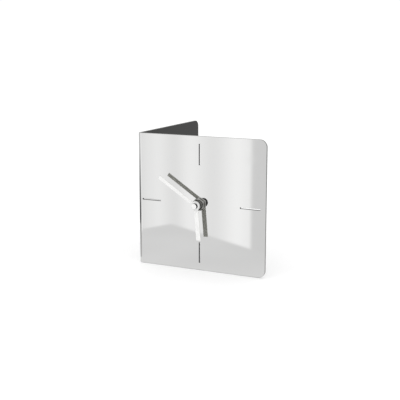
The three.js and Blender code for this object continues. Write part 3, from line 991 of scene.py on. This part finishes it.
@dataclass
class HandNut(SubAssembly):
    """The closed nut on the minute hand: dark sides, a painted front and a turned groove."""

    wall: float = 0.7
    lip: float = 0.1
    waist: float = 0.7
    groove: float = 0.1
    chamfer: float = 0.22

    def build(self) -> list[bpy.types.Object]:
        """Turns the nut.

        Returns:
            The nut alone.
        """
        low, high = self.shop.span("hand_nut")
        radius = (high.x - low.x) / 2
        inside, floor, waist = radius - self.wall, high.z - self.wall, low.z + self.waist
        profile = [
            (0, floor),
            (inside, floor),
            (inside, low.z + self.lip),
            (inside + self.lip, low.z),
            (radius - self.lip, low.z),
            (radius, low.z + self.lip),
            (radius, waist),
            (radius - self.groove, waist + 0.08),
            (radius - self.groove, waist + 0.22),
            (radius, waist + 0.3),
            (radius, high.z - self.chamfer),
            (radius - self.chamfer * 0.35, high.z - self.chamfer * 0.3),
            (radius - self.chamfer, high.z),
            (0, high.z),
        ]
        front = high.z - self.chamfer
        nut = self.shop.turned("hand_nut_turned", profile, (WHITE, HUB_DARK), front_above=front)
        return [self.shop.settle(nut, Body.MINUTE, "white_paint", ["hand_nut"])]


@dataclass
class DialFixings(SubAssembly):
    """The threaded bush, hex nut, washer and gasket that hold the movement to the dial."""

    thread_radius: float = 4.0
    thread_pitch: float = 0.75
    thread_depth: float = 0.4
    thread_steps: int = 72
    rows_to_a_pitch: int = 8
    bush_bore: float = 2.84
    flange_thickness: float = 0.6
    plain_stem: float = 0.9
    plain_end: float = 0.25
    nut_bore: float = 4.05
    ring_bore: float = 4.1

    def build(self) -> list[bpy.types.Object]:
        """Makes the four fixings.

        Returns:
            The pieces.
        """
        made = [self.bush(), self.nut()]
        made.append(self.ring("washer_ring", "dial_washer", NICKEL, "plated_brass", 0.1))
        made.append(self.ring("gasket_ring", "rubber_gasket", RUBBER, "black_rubber", 0.2))
        return made

    def bush(self) -> bpy.types.Object:
        """Cuts the bush's thread as one helix over its stem, above its flange. Its plating is darkened with
        painted shade.

        Returns:
            The bush.
        """
        low, high = self.shop.span("threaded_bush")
        flange, flange_top = (high.x - low.x) / 2, low.z + self.flange_thickness
        start, end = flange_top + self.plain_stem, high.z - self.plain_end
        rows = round((end - start) / self.thread_pitch * self.rows_to_a_pitch)
        root, ease, bore_ease = self.thread_radius - self.thread_depth, 0.1, 0.15

        def profile(angle: float) -> Profile:
            """The bush's section at one angle.

            Args:
                angle: The angle.

            Returns:
                Radius and height pairs.
            """
            points = [(self.bush_bore, low.z), (flange - ease, low.z), (flange, low.z + ease)]
            points += [(flange, flange_top - ease), (flange - ease, flange_top), (root, flange_top)]
            for row in range(rows + 1):
                z = start + (end - start) * row / rows
                phase = (z / self.thread_pitch - angle / math.tau) % 1
                crest = min(1.0, 2.6 * abs(phase - 0.5))
                points.append((self.thread_radius - self.thread_depth * crest, z))
            points += [(root, high.z), (self.bush_bore + bore_ease, high.z)]
            points.append((self.bush_bore, high.z - bore_ease))
            return points

        bush = self.shop.turned("bush_thread", profile, (THREAD_PLATE_IN_PAINTED_SHADE,), steps=self.thread_steps)
        return self.shop.settle(bush, Body.CASE, "plated_brass", ["threaded_bush"])

    def nut(self) -> bpy.types.Object:
        """Makes the hex nut with its corners chamfered at 30 degrees.

        Returns:
            The nut.
        """
        low, high = self.shop.span("hex_nut")
        flat = min(high.x - low.x, high.y - low.y) / 2
        on_flats = (high.x - low.x) < (high.y - low.y)
        bore, ease, face = self.nut_bore, 0.25, flat * 0.98

        def profile(angle: float) -> Profile:
            """The nut's section at one angle.

            Args:
                angle: The angle.

            Returns:
                Radius and height pairs.
            """
            turned = angle if on_flats else angle + math.pi / 6
            side = (turned + math.pi / 6) % (math.pi / 3) - math.pi / 6
            out = flat / math.cos(side)
            drop = (out - face) * math.tan(math.radians(30))
            back = [(bore, low.z + ease), (bore + ease, low.z), (face, low.z), (out, low.z + drop)]
            front = [(out, high.z - drop), (face, high.z), (bore + ease, high.z), (bore, high.z - ease)]
            return back + front

        nut = self.shop.turned("hex_nut_chamfered", profile, (NICKEL,), steps=120)
        return self.shop.settle(nut, Body.CASE, "plated_brass", ["hex_nut"])

    def ring(self, name: str, node: str, finish: Finish, slot: str, ease: float) -> bpy.types.Object:
        """Makes a flat ring with eased edges.

        Args:
            name: The piece's name.
            node: The CAD node that it stands for.
            finish: Its finish.
            slot: Its material slot.
            ease: How far its edges are eased.

        Returns:
            The ring.
        """
        low, high = self.shop.span(node)
        profile = eased_ring(self.ring_bore, (high.x - low.x) / 2, low.z, high.z, ease)
        return self.shop.settle(self.shop.turned(name, profile, (finish,)), Body.CASE, slot, [node])


# ---------- movement ----------


@dataclass
class RibRow(SubAssembly):
    """Raised ribs repeated along a line by Geometry Nodes, then made one mesh."""

    name: str
    start: Place
    step: Place
    count: int
    wide: float
    high: float
    proud: float

    def group(self) -> bpy.types.NodeTree:
        """Builds the tree: a row of points, a rounded rib on each, realized, with its material set.

        Returns:
            The tree.
        """
        tree = bpy.data.node_groups.new(f"{self.name}_tree", "GeometryNodeTree")
        tree.interface.new_socket("Geometry", in_out="OUTPUT", socket_type="NodeSocketGeometry")
        sockets = {"Rib": "Object", "Count": "Int", "Start": "Vector", "Step": "Vector", "Finish": "Material"}
        for socket, kind in sockets.items():
            tree.interface.new_socket(socket, in_out="INPUT", socket_type=f"NodeSocket{kind}")
        kinds = {
            "given": "NodeGroupInput",
            "result": "NodeGroupOutput",
            "row": "GeometryNodeMeshLine",
            "rib": "GeometryNodeObjectInfo",
            "each": "GeometryNodeInstanceOnPoints",
            "real": "GeometryNodeRealizeInstances",
            "dress": "GeometryNodeSetMaterial",
        }
        nodes = {key: tree.nodes.new(kind) for key, kind in kinds.items()}
        links = (
            ("given", "Count", "row", "Count"),
            ("given", "Start", "row", "Start Location"),
            ("given", "Step", "row", "Offset"),
            ("given", "Rib", "rib", "Object"),
            ("row", "Mesh", "each", "Points"),
            ("rib", "Geometry", "each", "Instance"),
            ("each", "Instances", "real", "Geometry"),
            ("real", "Geometry", "dress", "Geometry"),
            ("given", "Finish", "dress", "Material"),
            ("dress", "Geometry", "result", "Geometry"),
        )
        for a, out, b, into in links:
            tree.links.new(nodes[a].outputs[out], nodes[b].inputs[into])
        return tree

    def rib(self) -> bpy.types.Object:
        """Makes one rib about the origin, with rounded ends.

        Returns:
            The rib, which is only a pattern for the others.
        """
        radius = min(self.wide, self.high) / 2 - 1e-3
        outline = rounded(-self.wide / 2, self.wide / 2, self.high / 2, radius, 5)
        build = self.shop.plate(f"{self.name}_blank", outline, [], self.proud, min(0.12, self.proud / 4))
        for vert in build.verts:
            vert.co = Vector((vert.co.x, -vert.co.z, vert.co.y)) * MM
        bmesh.ops.recalc_face_normals(build, faces=build.faces)
        return self.shop.finished(f"{self.name}_pattern", build, (BLACK,))

    def build(self) -> list[bpy.types.Object]:
        """Runs the tree and keeps its result as a plain mesh.

        Returns:
            The row of ribs, as one piece.
        """
        pattern = self.rib()
        holder = self.shop.object(self.name, bpy.data.meshes.new(self.name), (BLACK,))
        modifier = holder.modifiers.new("ribs", "NODES")
        modifier.node_group = tree = self.group()
        values = {
            "Rib": pattern,
            "Count": self.count,
            "Start": self.start.point(self.shop.dial),
            "Step": self.step.point(Vector()),
            "Finish": BLACK.material(),
        }
        for item in tree.interface.items_tree:
            if item.in_out == "INPUT":
                modifier[item.identifier] = values[item.name]
        self.shop.baked(holder)
        bpy.data.objects.remove(pattern)
        return [self.shop.settle(holder, Body.CASE, "black_plastic")]


@dataclass
class Marking(SubAssembly):
    """A raised mark on the movement's moulding. Its outline is as a person facing the mark sees it, y up."""

    name: str
    outline: Profile
    at: Place
    facing: Vector
    proud: float = 0.25

    def build(self) -> list[bpy.types.Object]:
        """Cuts the mark and stands it on its face.

        Returns:
            The mark alone.
        """
        build = self.shop.plate(f"{self.name}_blank", self.outline, [], self.proud, self.proud / 4)
        middle = self.at.point(self.shop.dial)
        up = Vector((0, 0, 1))
        right = up.cross(self.facing)
        for vert in build.verts:
            x, y, z = vert.co
            vert.co = middle + (right * x + up * y + self.facing * z) * MM
        bmesh.ops.recalc_face_normals(build, faces=build.faces)
        mark = self.shop.finished(self.name, build, (BLACK,))
        return [self.shop.settle(mark, Body.CASE, "black_plastic")]


def cross_outline(reach: float, half: float) -> list[tuple[float, float]]:
    """The outline of a plus sign.

    Args:
        reach: From its middle to the end of an arm.
        half: Half an arm's width.

    Returns:
        The points.
    """
    quarter = [(half, half), (half, reach), (-half, reach)]
    points = []
    for turn in range(4):
        c, s = round(math.cos(turn * math.pi / 2)), round(math.sin(turn * math.pi / 2))
        points += [(x * c - y * s, x * s + y * c) for x, y in quarter]
    return points


def turning_arrow(radius: float, half: float, start: float, end: float) -> list[tuple[float, float]]:
    """The outline of an arrow bent round a circle.

    Args:
        radius: The circle's radius.
        half: Half the arrow's width.
        start: Where its tail is, in degrees.
        end: Where its head begins.

    Returns:
        The points.
    """
    barb, head_degrees = 3 * half, 22
    corners = ((radius + barb, end), (radius, end + head_degrees), (radius - barb, end))
    head = [(r * math.cos(math.radians(a)), r * math.sin(math.radians(a))) for r, a in corners]
    return arc(0, 0, radius + half, start, end, 16) + head + arc(0, 0, radius - half, end, start, 16)


@dataclass
class Movement(SubAssembly):
    """The quartz movement behind the dial: its case, knob, contacts, cell and the pieces inside."""

    can_radius: float = 6.75
    nub_radius: float = 2.75
    nub_height: float = 1.0
    cell_steps: int = 72
    sleeve_split: float = 0.72
    inner: dict[str, Finish] = field(
        default_factory=lambda: {
            "train_bridge": NATURAL,
            "motion_work_pin": STEEL,
            "third_wheel_pin": STEEL,
            "intermediate_wheel_pin": STEEL,
            "rotor_pin": STEEL,
            "motion_work_wheel": NATURAL,
            "hour_wheel": BLACK,
            "minute_tube": BLACK,
            "seconds_wheel": NATURAL,
            "third_wheel": NATURAL,
            "centre_wheel": NATURAL,
            "clutch_spring": BRASS,
            "intermediate_wheel": NATURAL,
            "setting_pinion": NATURAL,
            "rotor_magnet": MAGNET,
            "rotor_pinion": NATURAL,
            "stator": LAMINATION,
            "coil_core": LAMINATION,
            "coil_bobbin": NATURAL,
            "coil_winding": WIRE,
            "circuit_board": MASK,
            "clock_chip": EPOXY,
            "quartz_crystal": STEEL,
        }
    )

    def build(self) -> list[bpy.types.Object]:
        """Makes and dresses the movement.

        Returns:
            The new pieces.
        """
        for node, finish in self.inner.items():
            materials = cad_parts[node].data.materials
            materials.clear()
            materials.append(finish.material())
            log.info("%s: CAD node in %s", node, finish.name)
        return self.mouldings() + self.contacts() + self.cell() + self.ribs() + self.marks()

    def mouldings(self) -> list[bpy.types.Object]:
        """Rounds the edges of the front case, the back cover and the fluted setting knob.

        Returns:
            The three mouldings.
        """
        shapes = (
            ("front_case_moulding", "movement_front_case", Body.CASE, 0.35, 3),
            ("back_cover_moulding", "movement_back_cover", Body.CASE, 0.45, 3),
            ("setting_knob_moulding", "setting_knob", Body.SETTING, 0.2, 2),
        )
        made = []
        for name, node, body, rounding, segments in shapes:
            piece = self.shop.softened(name, node, (BLACK,), rounding, segments)
            made.append(self.shop.settle(piece, body, "black_plastic", [node]))
        return made

    def contacts(self) -> list[bpy.types.Object]:
        """Rounds the edges of the two stamped battery contacts.

        Returns:
            The contacts.
        """
        made = []
        for pole in ("positive", "negative"):
            node = f"battery_contact_{pole}"
            piece = self.shop.softened(f"{node}_strip", node, (BRASS,), 0.08)
            made.append(self.shop.settle(piece, Body.CASE, "spring_brass", [node]))
        return made

    def cell(self) -> list[bpy.types.Object]:
        """The AA cell: a can with a nub and crimped ends, and a two-tone sleeve shrunk on it.

        Returns:
            The can and the sleeve.
        """
        low, high = self.shop.span("battery_cell")
        radius = (high.y - low.y) / 2
        length = high.x - low.x
        shoulder = length - self.nub_height
        split = length * self.sleeve_split
        can = [
            (0, 0.25),
            (3.4, 0.25),
            (3.8, 0),
            (6.2, 0),
            (6.6, 0.35),
            (self.can_radius, 0.9),
            (self.can_radius, shoulder - 1.1),
            (6.5, shoulder - 0.5),
            (5.6, shoulder - 0.25),
            (4.4, shoulder - 0.35),
            (self.nub_radius, shoulder - 0.3),
            (self.nub_radius, length - 0.35),
            (self.nub_radius - 0.35, length),
            (0, length),
        ]
        inside = self.can_radius + 0.03
        sleeve = [
            (inside, 0.9),
            (6.15, 0.22),
            (6.2, 0.1),
            (radius - 0.35, 0.12),
            (radius, 0.75),
            (radius, split),
            (radius, shoulder - 0.95),
            (radius - 0.35, shoulder - 0.3),
            (5.7, shoulder - 0.06),
            (5.65, shoulder - 0.16),
            (6.6, shoulder - 0.55),
            (inside, shoulder - 1.1),
        ]
        pieces = [
            self.lathed("cell_can", can, low, high, (TIN,), split),
            self.lathed("cell_sleeve_shrunk", sleeve, low, high, (SLEEVE, SLEEVE_BAND), split),
        ]
        for piece in pieces:
            self.shop.settle(piece, Body.BATTERY, "cell_sleeve")
        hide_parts("battery_cell")
        return pieces

    def lathed(
        self, name: str, profile: Profile, low: Place, high: Place, finishes: Sequence[Finish], split: float
    ) -> bpy.types.Object:
        """A piece turned about the middle of a box, along x.

        Args:
            name: The piece's name.
            profile: Radius and distance pairs that close on themselves.
            low: The box's lowest corner.
            high: Its highest corner.
            finishes: The finishes.
            split: Past this distance, the last finish is used.

        Returns:
            The object.
        """
        y, z = (low.y + high.y) / 2, (low.z + high.z) / 2

        def place(r: float, s: float, a: float) -> Place:
            """The place of a radius, a distance along the cell and an angle."""
            return Place(low.x + s, y + r * math.cos(a), z + r * math.sin(a))

        build = self.shop.revolved(profile, self.cell_steps, place)
        for face in build.faces:
            distance = (face.calc_center_median().x - self.shop.dial.x) / MM - low.x
            face.material_index = len(finishes) - 1 if distance > split else 0
        return self.shop.finished(name, build, finishes)

    def ribs(self) -> list[bpy.types.Object]:
        """Makes the grip ribs on the back cover and the clip bars on top of the case.

        Returns:
            The two rows.
        """
        cover_low, cover_high = self.shop.span("movement_back_cover")
        case_low, case_high = self.shop.span("movement_front_case")
        grip = RibRow(
            self.shop,
            name="cover_ribs",
            start=Place(cover_high.x - 24, cover_high.y - 7, cover_low.z),
            step=Place(0, -2.4, 0),
            count=7,
            wide=18,
            high=0.9,
            proud=0.5,
        )
        clips = RibRow(
            self.shop,
            name="case_clip_bars",
            start=Place(case_low.x + 10, case_high.y, (case_low.z + case_high.z) / 2 + 1),
            step=Place(12, 0, 0),
            count=4,
            wide=5,
            high=0.5,
            proud=3.2,
        )
        return grip.build() + clips.build()

    def marks(self) -> list[bpy.types.Object]:
        """Makes the setting arrow round the knob, and a plus and a minus at the ends of the battery bay.

        Returns:
            The marks.
        """
        case_low, case_high = self.shop.span("movement_front_case")
        knob_low, knob_high = self.shop.span("setting_knob")
        cell_low, cell_high = self.shop.span("battery_cell")
        rear = self.shop.span("movement_back_cover")[0].z
        knob = Place((knob_low.x + knob_high.x) / 2, (knob_low.y + knob_high.y) / 2, rear)
        level, depth = (cell_low.y + cell_high.y) / 2, (case_low.z + case_high.z) / 2
        right, left = Place(case_high.x, level, depth), Place(case_low.x, level, depth)
        shapes = (
            ("setting_arrow", turning_arrow(7, 0.35, 20, 110), knob, (0, 1, 0)),
            ("plus_mark", cross_outline(2, 0.5), right, (1, 0, 0)),
            ("minus_mark", rectangle(0, 0, 4, 1), left, (-1, 0, 0)),
        )
        made = []
        for name, outline, at, facing in shapes:
            made += Marking(self.shop, name, outline, at, Vector(facing)).build()
        return made


# ---------- the studio ----------


@dataclass(frozen=True)
class Card:
    """A glowing card that only the polished steel sees, a painted reflection which shades from one tone to
    another along x. In metres.
    """

    name: str
    corners: tuple[tuple[float, float, float], ...]
    tones: tuple[float, float]
    fade: tuple[float, float]


# Painted reflections: glowing cards that only the steel sees; the low tones paint dark reflections.
BEHIND = Card(
    "card_behind",
    ((0.08, 0.5, 0), (0.42, 0.5, 0), (0.42, 0.5, 0.16), (0.08, 0.5, 0.16)),
    (0.1, 0.07),
    (0.08, 0.42),
)
LEFT = Card(
    "card_left",
    ((-0.15, -0.2, 0), (-0.8, -0.85, 0), (-1.3, -0.85, 0), (-1.3, 0.45, 0), (-0.15, 0.45, 0)),
    (0.62, 0.07),
    (-0.65, -0.15),
)
NEAR = Card(
    "card_near",
    ((-0.012, -0.07, 0), (-0.15, -0.2, 0), (-0.15, 0.45, 0), (-0.012, 0.45, 0)),
    (0.4, 0.46),
    (-0.15, -0.012),
)


@dataclass
class Studio:
    """The floor, the light, the glowing sheets that paint what the polished steel reflects, and the camera.
    Sizes are in metres.
    """

    shop: Workshop
    lens: float = 71.5
    sensor: float = 36
    azimuth: float = 25.31
    elevation: float = 11.5
    stand: tuple[float, float, float] = (0.3544, -0.6793, 0.1427)
    floor_size: float = 12.0
    floor_gap: float = 0.0002
    ambient: float = 1.03
    backdrop: float = 1.05
    key_power: float = 1.4
    key_elevation: float = 18.0
    key_spread: float = 10.0
    cards: tuple[Card, ...] = (BEHIND, LEFT, NEAR)
    card_gap: float = 0.001
    reach: float = 3.0
    table_tone: float = 0.78
    table_drift: float = 0.09
    table_left: tuple[float, float] = (-0.061, 0.116)
    table_corner: tuple[float, float] = (-0.044, 0.15)
    table_right: tuple[float, float] = (0.0915, 0.079)
    table_blur: float = 0.005
    band_range: tuple[float, float] = (20, 31)
    band_tones: tuple[tuple[float, float], ...] = (
        (21.35, 0.72),
        (21.75, 1.0),
        (22.5, 1.04),
        (24.4, 0.89),
        (26.0, 1.0),
        (27.2, 0.88),
        (28.4, 0.97),
        (29.0, 0.93),
        (29.7, 0.86),
        (30.3, 1.1),
    )

    def build(self) -> None:
        """Sets up the studio."""
        self.camera()
        ground = self.shop.case_low.z - self.floor_gap
        self.world()
        self.lights()
        self.floor(ground)
        self.reflected_ground(ground)
        for card in self.cards:
            self.stand_card(card, ground + self.card_gap)
        view = bpy.context.scene.view_settings
        view.view_transform = "Standard"
        view.look = "None"

    def camera(self) -> None:
        """Places the camera."""
        data = bpy.data.cameras.new("camera")
        data.lens = self.lens
        data.sensor_width = self.sensor
        data.clip_start = 0.01
        camera = bpy.data.objects.new("camera", data)
        bpy.context.scene.collection.objects.link(camera)
        camera.location = self.stand
        turn = Matrix.Rotation(math.radians(self.azimuth), 4, "Z")
        tilt = Matrix.Rotation(math.radians(90 - self.elevation), 4, "X")
        camera.rotation_euler = (turn @ tilt).to_euler()
        bpy.context.scene.camera = camera

    def world(self) -> None:
        """A plain white surround, a little brighter where the camera sees it than as a light."""
        world = bpy.data.worlds.new("surround")
        bpy.context.scene.world = world
        world.use_nodes = True
        tree = world.node_tree
        background = tree.nodes["Background"]
        background.inputs["Color"].default_value = (1, 1, 1, 1)
        path = tree.nodes.new("ShaderNodeLightPath")
        seen = tree.nodes.new("ShaderNodeMapRange")
        tree.links.new(path.outputs["Is Camera Ray"], seen.inputs["Value"])
        seen.inputs["To Min"].default_value = self.ambient
        seen.inputs["To Max"].default_value = self.backdrop
        tree.links.new(seen.outputs["Result"], background.inputs["Strength"])

    def lights(self) -> None:
        """One soft light from the camera's side and above it, so that the shadow falls behind the clock."""
        data = bpy.data.lights.new("key", "SUN")
        data.energy = self.key_power
        data.angle = math.radians(self.key_spread)
        lamp = bpy.data.objects.new("key", data)
        bpy.context.scene.collection.objects.link(lamp)
        turn, drop = math.radians(self.azimuth), math.radians(self.key_elevation)
        travel = Vector((-math.sin(turn) * math.cos(drop), math.cos(turn) * math.cos(drop), -math.sin(drop)))
        lamp.rotation_euler = travel.to_track_quat("-Z", "Y").to_euler()
        lamp.visible_glossy = False

    def sheet(
        self, name: str, points: Sequence[tuple[float, float, float]], material: bpy.types.Material
    ) -> bpy.types.Object:
        """A flat sheet, marked as stage.

        Args:
            name: Its name.
            points: Its corners.
            material: Its material.

        Returns:
            The sheet.
        """
        mesh = bpy.data.meshes.new(name)
        mesh.from_pydata(points, [], [list(range(len(points)))])
        mesh.materials.append(material)
        made = bpy.data.objects.new(name, mesh)
        bpy.context.scene.collection.objects.link(made)
        return made

    def only_reflected(self, made: bpy.types.Object) -> None:
        """Hides a stage object from every ray but a reflected one."""
        for ray in ("camera", "diffuse", "shadow", "transmission", "volume_scatter"):
            setattr(made, f"visible_{ray}", False)

    def stand_card(self, card: Card, level: float) -> None:
        """Sets a card up as a glowing painted reflection.

        Args:
            card: The card.
            level: The height that its corners are measured from.
        """
        painted_reflection = NodeSheet(f"{card.name}_felt")
        light, split = self.glowing(painted_reflection)
        shade = painted_reflection.span(split, "X", *card.tones)
        shade.inputs["From Min"].default_value, shade.inputs["From Max"].default_value = card.fade
        painted_reflection.join(shade, "Result", light, "Strength")
        points = [(x, y, level + z) for x, y, z in card.corners]
        self.only_reflected(self.sheet(card.name, points, painted_reflection.material))

    def glowing(self, sheet: NodeSheet) -> tuple[bpy.types.Node, bpy.types.Node]:
        """Makes a node sheet shine by itself.

        Args:
            sheet: The node sheet.

        Returns:
            The emission node, and the object's coordinates, split.
        """
        light = sheet.add("ShaderNodeEmission")
        sheet.join(light, "Emission", sheet.output, "Surface")
        split = sheet.add("ShaderNodeSeparateXYZ")
        sheet.join(sheet.coordinates, "Object", split, "Vector")
        return light, split

    def floor(self, level: float) -> None:
        """The pale floor.

        Args:
            level: Its height.
        """
        paint = NodeSheet("floor_paint")
        paint.put(paint.shader, Roughness=0.9, Specular_IOR_Level=0.0)
        cloud = paint.noise(3, 2)
        paint.tint(cloud, "Fac", (0.95, 0.95, 0.95), (0.97, 0.97, 0.97))
        corners = [(x, y, level) for x, y in rectangle(0, 0, self.floor_size, self.floor_size)]
        self.sheet("floor", corners, paint.material).visible_glossy = False

    def reflected_ground(self, level: float) -> None:
        """A glowing sheet, seen only in reflections, that paints the polished steel's reflection of the
        ground: a grey table with a corner, and soft bands past it.

        Args:
            level: The ground's height.
        """
        face = self.shop.case_low.y
        tones = NodeSheet("reflected_ground_tones")
        light, split = self.glowing(tones)
        bands = self.bands(tones, split, (self.stand[0], 2 * face - self.stand[1]))
        left, corner, right = (
            (x, face - away) for x, away in (self.table_left, self.table_corner, self.table_right)
        )
        # The grey table is painted reflection: no table stands in the scene, only this glowing sheet.
        on_table = tones.add("ShaderNodeMath", operation="MULTIPLY")
        tones.join(self.past_line(tones, split, left, corner), "Result", on_table, 0)
        tones.join(self.past_line(tones, split, corner, right), "Result", on_table, 1)
        low, high = self.table_tone - self.table_drift, self.table_tone + self.table_drift
        table = tones.span(tones.noise(9, 1), "Fac", low, high)
        mix = tones.add("ShaderNodeMix", data_type="FLOAT")
        tones.join(on_table, "Value", mix, "Factor")
        tones.join(bands, "Color", mix, 2)
        tones.join(table, "Result", mix, 3)
        tones.join(mix, 0, light, "Strength")
        corners = [(x, y, level) for x, y in rectangle(0, 0, 2 * self.reach, 2 * self.reach)]
        self.only_reflected(self.sheet("reflected_ground", corners, tones.material))

    def bands(self, sheet: NodeSheet, split: bpy.types.Node, eye: tuple[float, float]) -> bpy.types.Node:
        """Soft upright bands of painted reflection: a tone that changes with the direction from a point.

        Args:
            sheet: The node sheet.
            split: The coordinates, split.
            eye: The point, on the ground: the camera's place mirrored in the dial's face.

        Returns:
            A colour ramp whose colour is the tone.
        """
        angle = sheet.add("ShaderNodeMath", operation="ARCTAN2")
        for k, axis in enumerate("XY"):
            away = sheet.add("ShaderNodeMath", operation="SUBTRACT")
            away.inputs[0].default_value = eye[k]
            sheet.join(split, axis, away, 1)
            sheet.join(away, "Value", angle, k)
        first, last = self.band_range
        place = sheet.add("ShaderNodeMapRange")
        sheet.join(angle, "Value", place, "Value")
        place.inputs["From Min"].default_value = math.radians(first)
        place.inputs["From Max"].default_value = math.radians(last)
        ramp = sheet.add("ShaderNodeValToRGB")
        ramp.color_ramp.interpolation = "EASE"
        elements = ramp.color_ramp.elements
        while len(elements) < len(self.band_tones):
            elements.new(0.5)
        for element, (degrees, tone) in zip(elements, self.band_tones):
            element.position = (degrees - first) / (last - first)
            element.color = (tone, tone, tone, 1)
        sheet.join(place, "Result", ramp, "Fac")
        return ramp

    def past_line(
        self, sheet: NodeSheet, split: bpy.types.Node, a: tuple[float, float], b: tuple[float, float]
    ) -> bpy.types.Node:
        """1 on the left of the line from a to b, and 0 on its right, with a soft step.

        Args:
            sheet: The node sheet.
            split: The coordinates, split.
            a: A point on the line.
            b: Another.

        Returns:
            A node whose Result is the value.
        """
        along = Vector((b[0] - a[0], b[1] - a[1])).normalized()
        normal = Vector((-along.y, along.x))
        x = sheet.add("ShaderNodeMath", operation="MULTIPLY_ADD")
        sheet.join(split, "X", x, 0)
        x.inputs[1].default_value = normal.x
        x.inputs[2].default_value = -(a[0] * normal.x + a[1] * normal.y)
        y = sheet.add("ShaderNodeMath", operation="MULTIPLY_ADD")
        sheet.join(split, "Y", y, 0)
        y.inputs[1].default_value = normal.y
        sheet.join(x, "Value", y, 2)
        step = sheet.add("ShaderNodeMapRange", interpolation_type="SMOOTHSTEP")
        sheet.join(y, "Value", step, "Value")
        step.inputs["From Min"].default_value = -self.table_blur
        step.inputs["From Max"].default_value = self.table_blur
        return step


# ---------- assembly ----------

SHOWN_HOURS = 5
SHOWN_MINUTES = 50.5


def hands(shop: Workshop) -> list[BarHand]:
    """The two hands, at the time that the clock shows.

    Args:
        shop: The workshop.

    Returns:
        The hour hand and the minute hand.
    """
    hour = BarHand(
        shop,
        name="hour_hand",
        body=Body.HOUR,
        length=31,
        width=4.2,
        blade_back=7.36,
        collet_radius=4.0,
        bore=2.76,
        clock_degrees=(SHOWN_HOURS + SHOWN_MINUTES / 60) * 30,
    )
    minute = BarHand(
        shop,
        name="minute_hand",
        body=Body.MINUTE,
        length=42,
        width=3.2,
        blade_back=8.4,
        collet_radius=3.9,
        bore=1.76,
        clock_degrees=SHOWN_MINUTES * 6,
    )
    return [hour, minute]


def main() -> None:
    """Builds the studio and each sub-assembly."""
    logging.basicConfig(level=logging.INFO, format="%(name)s: %(message)s")
    shop = Workshop()
    Studio(shop).build()
    for part in (FoldedSheet(shop), *hands(shop), HandNut(shop), DialFixings(shop), Movement(shop)):
        part.build()
    log.info("sizes written")


if __name__ == "__main__":
    main()
